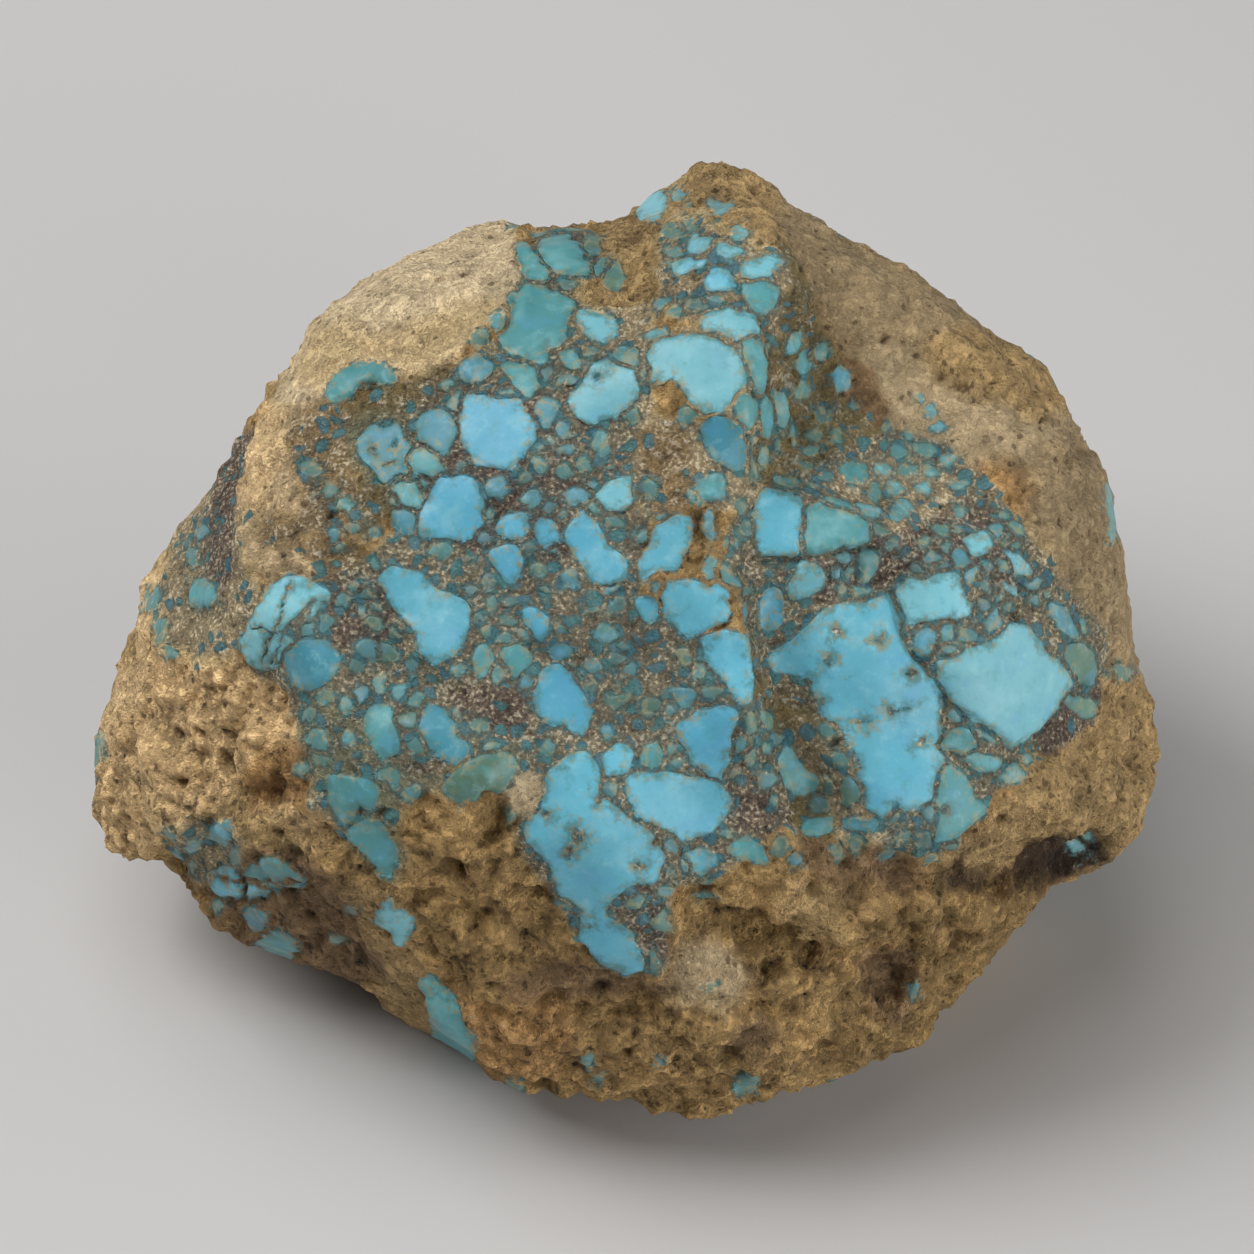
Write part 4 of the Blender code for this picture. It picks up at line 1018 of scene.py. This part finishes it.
        cells = wires.grains(grain.bent, self.cell_size)
        hue = wires.add("ShaderNodeSeparateXYZ", {0: cells.outputs["Color"]}).outputs
        held_cell = wires.math("LESS_THAN", hue[0], held["cells"])
        next_cell = wires.grains(grain.bent, self.cell_size, "F2").outputs["Distance"]
        to_wall = wires.line(wires.math("SUBTRACT", next_cell, cells.outputs["Distance"]), 0.0, 1.0, -self.wall, 0.5)
        to_edge = wires.math("SUBTRACT", wires.line(hue[1], 0.0, 1.0, 0.36, 0.8), cells.outputs["Distance"])
        inside = wires.total(wires.math("MINIMUM", to_wall, to_edge), wires.line(grain.fine, 0.3, 0.7, -0.09, 0.09))
        cell = wires.times(wires.ramp(inside, -0.02, 0.08), held_cell)
        cell_colour = wires.mix(wires.ramp(hue[2], 0.2, 0.6), rgba(self.cell), rgba(Tint.TEAL.value))
        cell_colour = wires.mix(wires.ramp(hue[2], 0.65, 0.9), cell_colour, rgba(Tint.DEEP.value))
        cell_colour = wires.mix(wires.ramp(inside, 0.0, 0.2, 0.8, 0.0), cell_colour, rgba(self.halo))
        near = wires.ramp(wires.total(nodule, wires.line(grain.fine, 0.3, 0.7, -0.3, 0.3)), -0.5, 0.05, 0.0, 0.5)
        ground = wires.mix(wires.times(near, cover), ground, rgba(self.halo))
        return wires.mix(wires.times(cell, 0.88), ground, cell_colour), cell


@dataclass(frozen=True)
class StoneSkin:
    """The stone's one material: turquoise where a cobble is, host rock between."""

    turquoise: TurquoiseFinish = TurquoiseFinish()
    rock: RockFinish = RockFinish()
    grain_depth: float = 1.9
    crease_depth: float = 0.12
    step: float = 0.06
    wall: float = 0.16
    wall_slope: float = 0.8

    def material(self) -> bpy.types.Material:
        """Builds the material."""
        material = bpy.data.materials.new(FINISH)
        material.use_nodes = True
        tree = material.node_tree
        tree.nodes.clear()
        wires = Wiring(tree)
        objects_own = wires.add("ShaderNodeTexCoord").outputs["Object"]
        place = wires.add("ShaderNodeVectorMath", {0: objects_own, "Scale": 1.0 / MM}, operation="SCALE").outputs[0]

        def read(name: str, output: str = "Fac") -> bpy.types.NodeSocket:
            return wires.add("ShaderNodeAttribute", attribute_name=name).outputs[output]

        manner = wires.add("ShaderNodeSeparateXYZ", {0: read("manner", "Vector")}).outputs
        held = {"ground": read("ground", "Vector"), "pitting": manner[0], "grain": manner[1], "lumpy": manner[2],
                "cells": read("cells"), "pit": read("pit"), "crown": read("crown")}
        grain = SharedGrain.lay(wires, place)
        deepest, lead = wires.walled(*(read(f"cobbles_{number}") for number in range(1, 5)))
        ragged = wires.total(wires.line(grain.fine, 0.3, 0.7, -0.32, 0.32), wires.ramp(grain.rim, 0.4, 0.75, 0.03, -0.1))
        to_wall = wires.total(wires.times(lead, self.wall_slope), wires.times(ragged, 0.45), -self.wall)
        charted = wires.math("MINIMUM", deepest, wires.total(wires.times(lead, self.wall_slope), -self.wall))
        nodule = wires.math("MINIMUM", wires.total(deepest, ragged), to_wall)
        blue = wires.ramp(nodule, -0.2, 0.17)
        rock, cell = self.rock.colour(wires, grain, held, nodule)
        turquoise = self.turquoise.colour(wires, grain, read("tint", "Vector"), nodule)
        colour = wires.mix(blue, rock, turquoise)
        polished = wires.most(blue, wires.times(cell, 0.7))
        rough = wires.line(polished, 0.0, 1.0, self.rock.rough, self.turquoise.rough)
        bump = wires.add("ShaderNodeBump", {"Strength": 1.0, "Distance": MM, "Height": self.height(wires, place, charted)})
        shader = wires.add("ShaderNodeBsdfPrincipled", {"Base Color": colour, "Roughness": rough, "Normal": bump.outputs[0]})
        shader.inputs["Specular IOR Level"].default_value = 0.35
        wires.add("ShaderNodeOutputMaterial", {"Surface": shader.outputs[0]})
        return material

    def height(self, wires: Wiring, place: bpy.types.NodeSocket, nodule: bpy.types.NodeSocket) -> bpy.types.NodeSocket:
        """The finest relief, in mm: crumbs and gaps on the rock, next to none on turquoise, and the step between them."""
        rock = wires.ramp(nodule, -0.06, 0.12, 1.0, 0.0)
        fine = wires.math("SUBTRACT", wires.cloud(place, FINE, 5.0, 0.68).outputs[0], 0.5)
        rough = wires.times(fine, wires.line(rock, 0.0, 1.0, 0.03, self.grain_depth))
        crease = wires.ramp(wires.math("ABSOLUTE", fine), 0.03, 0.0)
        return wires.total(rough, wires.times(wires.times(crease, rock), -self.crease_depth),
                           wires.times(wires.ramp(nodule, -0.06, 0.2), self.step))


@dataclass
class StoneBody:
    """The whole nugget: the solid's skin made finer, charted, grown with relief and dressed."""

    face: ShowFace = field(default_factory=ShowFace)
    relief: Relief = field(default_factory=Relief)
    skin: StoneSkin = field(default_factory=StoneSkin)
    weld: float = 2e-5
    cell: float = 0.00062
    show_facing: float = 0.22

    def fine_skin(self) -> bpy.types.Mesh:
        """Copies the solid, merges its loose corners and covers it with an even skin, finer on the show face."""
        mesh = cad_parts[STONE].data.copy()
        work = bmesh.new()
        work.from_mesh(mesh)
        bmesh.ops.remove_doubles(work, verts=work.verts, dist=self.weld)
        bmesh.ops.recalc_face_normals(work, faces=work.faces)
        work.to_mesh(mesh)
        work.free()
        holder = bpy.data.objects.new("skin_work", mesh)
        bpy.context.scene.collection.objects.link(holder)
        cover = holder.modifiers.new("cover", "REMESH")
        cover.mode = "VOXEL"
        cover.voxel_size = self.cell
        even = bpy.data.meshes.new_from_object(holder.evaluated_get(bpy.context.evaluated_depsgraph_get()))
        bpy.data.objects.remove(holder)
        bpy.data.meshes.remove(mesh)
        self.relax(even, 2)
        work = bmesh.new()
        work.from_mesh(even)
        eye = self.face.eye
        shown = [f for f in work.faces if f.normal.dot((eye - f.calc_center_median()).normalized()) > self.show_facing]
        edges = {edge for f in shown for edge in f.edges}
        bmesh.ops.subdivide_edges(work, edges=list(edges), cuts=1, use_grid_fill=True)
        bmesh.ops.triangulate(work, faces=[f for f in work.faces if len(f.verts) > 4])
        work.to_mesh(even)
        work.free()
        self.relax(even, 1)
        return even

    def relax(self, mesh: bpy.types.Mesh, rounds: int) -> None:
        """Evens out a mesh by moving each corner halfway to the middle of its neighbours, rounds times."""
        places = vertex_places(mesh)
        ends = np.empty(len(mesh.edges) * 2, np.int32)
        mesh.edges.foreach_get("vertices", ends)
        first, second = ends.reshape(-1, 2).T
        count = np.bincount(np.concatenate([first, second]), minlength=len(places)).clip(1)
        for _ in range(rounds):
            middle = np.empty_like(places)
            for axis in range(3):
                into = np.bincount(first, places[second, axis], len(places))
                middle[:, axis] = (into + np.bincount(second, places[first, axis], len(places))) / count
            places = (places + middle) / 2.0
        mesh.vertices.foreach_set("co", places.astype(np.float32).ravel())
        mesh.update()

    def build(self) -> bpy.types.Object:
        """Builds the finished stone.

        Returns:
            The stone's object, at the origin, with its material and its ride on the frame.
        """
        mesh = self.fine_skin()
        LOG.info("skin: %d corners", len(mesh.vertices))
        Chart(self.face, mesh).write()
        stone = bpy.data.objects.new("turquoise_nugget", mesh)
        bpy.context.scene.collection.objects.link(stone)
        tree = self.relief.tree(self.skin.material())
        grower = stone.modifiers.new("relief", "NODES")
        grower.node_group = tree
        named = {item.name: item.identifier for item in tree.interface.items_tree if item.in_out == "INPUT"}
        for name, value in self.relief.inputs().items():
            grower[named[name]] = value
        grown = bpy.data.meshes.new_from_object(stone.evaluated_get(bpy.context.evaluated_depsgraph_get()))
        stone.modifiers.remove(grower)
        stone.data = grown
        self.keep_in_box(grown)
        grown.shade_smooth()
        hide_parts(STONE)
        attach(stone, "root")
        return stone

    def keep_in_box(self, mesh: bpy.types.Mesh) -> None:
        """Holds the grown skin inside the solid's own box, so that it rests on the same flat face."""
        places = vertex_places(mesh)
        low, high = (np.array(corner) for corner in SOLID_BOX)
        mesh.vertices.foreach_set("co", np.clip(places, low, high).astype(np.float32).ravel())
        mesh.update()


def vertex_places(mesh: bpy.types.Mesh) -> np.ndarray:
    """A mesh's corners as rows of x, y and z."""
    places = np.empty(len(mesh.vertices) * 3, np.float32)
    mesh.vertices.foreach_get("co", places)
    return places.reshape(-1, 3).astype(float)


class Chart:
    """Works out, for each corner of the skin, which cobble and which stretch of rock it belongs to."""

    CHANNELS = 4
    MARGIN = 30.0
    DEEPEST = 4.0
    RAGGED = 0.2
    GROUND_RAGGED = 0.55
    DEPTH_SLACK = 1.8
    DEEPEST_FACET = 14.0
    SPREAD = 0.13
    DUSTY = (106, 112, 92)
    SOFT = 0.72
    VEIN_SLOPE = 1.4
    FOOT_BULGE = 0.4
    UNDERCUT = 3.0

    def __init__(self, face: ShowFace, mesh: bpy.types.Mesh) -> None:
        """Places the mesh's corners on the chart.

        Args:
            face: the show face.
            mesh: the fine skin, before its relief.
        """
        self.mesh = mesh
        self.places = vertex_places(mesh)
        self.charted, self.out = face.chart(self.places)
        normals = np.empty(len(mesh.vertices) * 3, np.float32)
        mesh.vertex_normals.foreach_get("vector", normals)
        sight = np.array(face.eye) - self.places
        sight /= np.linalg.norm(sight, axis=1, keepdims=True)
        self.facing = (normals.reshape(-1, 3) * sight).sum(1)

    def wander(self, size: float, reach: float) -> np.ndarray:
        """A noise of that size in mm for each corner, as rows of three numbers up to about reach."""
        points = self.places / (MM * size)
        return np.array([noise.noise_vector(Vector(p)) for p in points.tolist()]) * reach

    def outlines(self) -> list[tuple[np.ndarray, np.ndarray, float]]:
        """Every cobble's linear colour, smooth outline and crispness; the smaller a cobble is, the duller and softer."""
        made = [(screen_to_light(tint.value), rounded_outline(chart_points(text), 3), 1.0)
                for tint, texts in NODULES.items() for text in texts]
        for tint, pebbles in PEBBLES.items():
            for pebble in pebbles:
                dull = float(np.clip(0.58 - pebble[2] * pebble[3] / 450.0, 0.15, 0.52)) * (0.5 if tint is Tint.PALE else 1.0)
                colour = screen_to_light(tint.value) * (1.0 - dull) + screen_to_light(self.DUSTY) * dull
                made.append((colour, pebble_outline(*pebble), self.SOFT))
        return made

    def near(self, outline: np.ndarray) -> np.ndarray:
        """The numbers of the corners on the viewer's side that are near an outline."""
        low, high = outline.min(0) - self.MARGIN, outline.max(0) + self.MARGIN
        boxed = ((self.charted > low) & (self.charted < high)).all(1)
        return np.nonzero(boxed & (self.facing > -0.45))[0]

    def write(self) -> None:
        """Measures the cobbles, the rock and the carving, and stores them on the mesh."""
        self.write_cobbles()
        self.write_ground()
        self.write_carving()

    def write_cobbles(self) -> None:
        """Stores how deep each corner lies in the cobbles, in four layers so that close neighbours never share one."""
        spots = self.charted + self.wander(0.9, self.RAGGED * CHART_STEPS)[:, :2]
        spots += self.wander(2.2, self.RAGGED * CHART_STEPS)[:, :2]
        layers = np.full((self.CHANNELS, len(self.places)), -2.0)
        best = np.full(len(self.places), -1e9)
        tints = np.tile(screen_to_light(Tint.TEAL.value), (len(self.places), 1))
        members: list[list[np.ndarray]] = [[] for _ in range(self.CHANNELS)]
        for colour, outline, crisp in self.outlines():
            near = self.near(outline)
            if not len(near):
                continue
            deep = inside_distance(spots[near], outline) / CHART_STEPS * crisp
            seen = (deep > 0) & (self.facing[near] > 0.1)
            level = self.out[near[seen]] if seen.any() else self.out[near[[deep.argmax()]]]
            low = max(np.percentile(level, 4), np.percentile(level, 96) - self.DEEPEST_FACET)
            deep = np.minimum(deep + self.SPREAD * (2.0 * crisp - 1.0), self.out[near] - low + self.DEPTH_SLACK)
            layer = self.pick_layer(members, outline)
            layers[layer, near] = np.maximum(layers[layer, near], deep)
            closer = deep > best[near]
            best[near[closer]] = deep[closer]
            own = colour * (1.0 + 0.08 * math.sin(outline[0, 0] * 1.7 + outline[0, 1]))
            tints[near[closer]] = own
        for patch in INCLUSIONS:
            outline = pebble_outline(*patch)
            near = self.near(outline)
            layers[:, near] = np.minimum(layers[:, near], 0.06 - 0.7 * inside_distance(spots[near], outline) / CHART_STEPS)
        for half_width, text in VEINS:
            path = chart_points(text)
            near = self.near(path)
            if len(near):
                beside = path_distance(spots[near], path) / CHART_STEPS
                layers[:, near] = np.minimum(layers[:, near], beside * self.VEIN_SLOPE - half_width)
        self.add_wild_cobbles(layers, best, tints)
        for number, layer in enumerate(layers, start=1):
            self.store(f"cobbles_{number}", np.clip(layer, -2.0, self.DEEPEST))
        self.store("tint", tints)

    def add_wild_cobbles(self, layers: np.ndarray, best: np.ndarray, tints: np.ndarray) -> None:
        """Adds the cobbles that no chart shows, where the stone turns away from the viewer."""
        places = self.places / MM + self.wander(1.6, 0.5)
        rows, nearest = WildCobbles().layers_of(places)
        _, wild = self.wild_ground()
        gate = (np.clip(wild * self.turned(), 0.0, 1.0) - 0.5) * 4.0
        rows = np.minimum(rows, gate)
        deep = rows.max(0)
        np.maximum(layers, rows, out=layers)
        palette = np.array([screen_to_light(tint.value) for tint in (Tint.SKY, Tint.TEAL, Tint.PALE, Tint.TEAL, Tint.DEEP,
                                                                     Tint.GREEN, Tint.SKY)])
        closer = deep > best
        tints[closer] = palette[nearest[closer] % len(palette)]

    def pick_layer(self, members: list[list[np.ndarray]], outline: np.ndarray) -> int:
        """Picks the layer whose cobbles are furthest from an outline, and adds the outline to it."""
        gaps = []
        for others in members:
            gap = 60.0
            for other in others:
                if (np.abs(other.mean(0) - outline.mean(0)) < 160.0).all():
                    gap = min(gap, np.linalg.norm(other[:, None] - outline[None], axis=-1).min())
            gaps.append(gap)
        layer = int(np.argmax(gaps))
        members[layer].append(outline)
        return layer

    def write_ground(self) -> None:
        """Stores the rock's colour and manner: charted on the show face, grown from noise elsewhere."""
        spots = self.charted + self.wander(2.2, self.GROUND_RAGGED * CHART_STEPS)[:, :2]
        spots += self.wander(0.6, 0.2 * CHART_STEPS)[:, :2]
        values = self.ground_values(Ground.OCHRE)[None].repeat(len(self.places), axis=0)
        for ground, feather, text in GROUNDS:
            outline = rounded_outline(chart_points(text), 2)
            low, high = outline.min(0) - self.MARGIN, outline.max(0) + self.MARGIN
            near = np.nonzero(((spots > low) & (spots < high)).all(1))[0]
            if not len(near):
                continue
            share = eased(inside_distance(spots[near], outline) / CHART_STEPS, -feather, feather)[:, None]
            values[near] += (self.ground_values(ground) - values[near]) * share
        wild_values, wild = self.wild_ground()
        values += (wild_values - values) * self.turned()[:, None]
        self.store("ground", values[:, :3])
        self.store("manner", values[:, 3:6])
        self.store("cells", values[:, 6])

    def turned(self) -> np.ndarray:
        """How far each corner has turned away from the viewer, from 0 to 1."""
        return eased(0.12 * self.wander(4.0, 1.0)[:, 2] - self.facing, 0.0, 0.3)

    def ground_values(self, ground: Ground) -> np.ndarray:
        """A finish as seven numbers: linear colour, pits, grain, lumps and cells."""
        colour, *manner = ground.value
        return np.concatenate([screen_to_light(colour), manner])

    def wild_ground(self) -> tuple[np.ndarray, np.ndarray]:
        """The rock away from the show face.

        Returns:
            Rows of seven finish values, and how much cobbles grow at each corner.
        """
        drift = self.wander(17.0, 1.0) + 0.35 * self.wander(5.0, 1.0)
        values = self.ground_values(Ground.OCHRE)[None].repeat(len(self.places), axis=0)
        layers = [(Ground.TAN, drift[:, 0], 0.02, 0.2), (Ground.SLOPE, drift[:, 1], 0.12, 0.3),
                  (Ground.UMBER, -drift[:, 0], 0.22, 0.4)]
        for ground, amount, low, high in layers:
            values += (self.ground_values(ground) - values) * eased(amount, low, high)[:, None]
        wild = eased(drift[:, 2], 0.05, 0.2)
        values += (self.ground_values(Ground.WEB) - values) * wild[:, None]
        return values, wild

    def write_carving(self) -> None:
        """Stores the carved relief, in mm."""
        spots = self.charted + self.wander(1.0, 0.2 * CHART_STEPS)[:, :2]
        height = np.zeros(len(self.places))
        for rise, half_width, text in CARVINGS:
            path = chart_points(text)
            near = self.near(path)
            if not len(near):
                continue
            gap = path_distance(spots[near], path) / CHART_STEPS / half_width
            height[near] += rise * np.exp(-gap * gap) * (self.facing[near] > -0.1)
        level = self.places[:, 2] / MM
        foot = eased(self.charted[:, 1], 1020.0, 1070.0) * eased(self.facing, -0.8, -0.3)
        height += foot * self.FOOT_BULGE * np.exp(-((level - 3.6) / 1.7) ** 2)
        height -= foot * self.UNDERCUT * np.exp(-(level / 1.8) ** 2)
        self.store("carve", height)

    def store(self, name: str, values: np.ndarray) -> None:
        """Stores a number or three for each corner under a name."""
        kind, key = ("FLOAT", "value") if values.ndim == 1 else ("FLOAT_VECTOR", "vector")
        attribute = self.mesh.attributes.new(name, kind, "POINT")
        attribute.data.foreach_set(key, values.astype(np.float32).ravel())


@dataclass(frozen=True)
class Lamp:
    """One soft square light, placed from the stone's centre."""

    name: str
    place: tuple[float, float, float]
    size: float
    watts: float

    def build(self, centre: Vector) -> None:
        """Hangs the light and turns it to the stone."""
        light = bpy.data.lights.new(self.name, "AREA")
        light.shape = "DISK"
        light.size = self.size
        light.energy = self.watts
        lamp = bpy.data.objects.new(self.name, light)
        lamp.location = centre + Vector(self.place)
        lamp.rotation_euler = (-Vector(self.place)).to_track_quat("-Z", "Y").to_euler()
        bpy.context.scene.collection.objects.link(lamp)


@dataclass
class Studio:
    """A plain pale floor, soft light and the camera."""

    face: ShowFace = field(default_factory=ShowFace)
    floor_size: float = 6.0
    floor_colour: tuple[float, float, float] = (202, 200, 199)
    sky: float = 0.012
    sensor: float = 36.0
    lamps: tuple[Lamp, ...] = (Lamp("key", (-0.34, 0.06, 0.46), 0.36, 2.3), Lamp("top", (-0.1, 0.05, 0.6), 0.5, 1.35),
                               Lamp("side", (0.6, -0.05, 0.12), 0.4, 1.5), Lamp("corner", (0.42, -0.42, 0.12), 0.4, 1.9))

    def build(self) -> None:
        """Builds the floor, the lights and the camera."""
        self.build_floor()
        for lamp in self.lamps:
            lamp.build(Vector(self.face.centre))
        self.build_sky()
        self.build_camera()
        bpy.context.scene.view_settings.view_transform = "Standard"

    def build_floor(self) -> None:
        """Lays the floor under the stone."""
        mesh = bpy.data.meshes.new("floor")
        work = bmesh.new()
        bmesh.ops.create_grid(work, x_segments=1, y_segments=1, size=self.floor_size / 2.0)
        work.to_mesh(mesh)
        work.free()
        floor = bpy.data.objects.new("floor", mesh)
        bpy.context.scene.collection.objects.link(floor)
        material = bpy.data.materials.new("floor_paint")
        material.use_nodes = True
        shader = material.node_tree.nodes["Principled BSDF"]
        shader.inputs["Base Color"].default_value = rgba(self.floor_colour)
        shader.inputs["Roughness"].default_value = 0.9
        shader.inputs["Specular IOR Level"].default_value = 0.1
        mesh.materials.append(material)

    def build_sky(self) -> None:
        """Sets the even light from all round."""
        world = bpy.data.worlds.new("studio")
        world.use_nodes = True
        world.node_tree.nodes["Background"].inputs["Color"].default_value = (1.0, 1.0, 1.0, 1.0)
        world.node_tree.nodes["Background"].inputs["Strength"].default_value = self.sky
        bpy.context.scene.world = world

    def build_camera(self) -> None:
        """Sets the camera at the show face's viewer."""
        right, up, out = self.face.axes
        data = bpy.data.cameras.new("camera")
        data.sensor_width = self.sensor
        data.lens = self.sensor * self.face.distance / self.face.view_width
        data.clip_start = 0.01
        camera = bpy.data.objects.new("camera", data)
        camera.matrix_world = Matrix.Translation(self.face.eye) @ Matrix((right, up, out)).transposed().to_4x4()
        bpy.context.scene.collection.objects.link(camera)
        bpy.context.scene.camera = camera


def main() -> None:
    """Builds the stone and the studio around it."""
    logging.basicConfig(level=logging.INFO, format="%(message)s")
    stone = StoneBody().build()
    LOG.info("%s: %d faces", stone.name, len(stone.data.polygons))
    Studio().build()


if __name__ == "__main__":
    main()
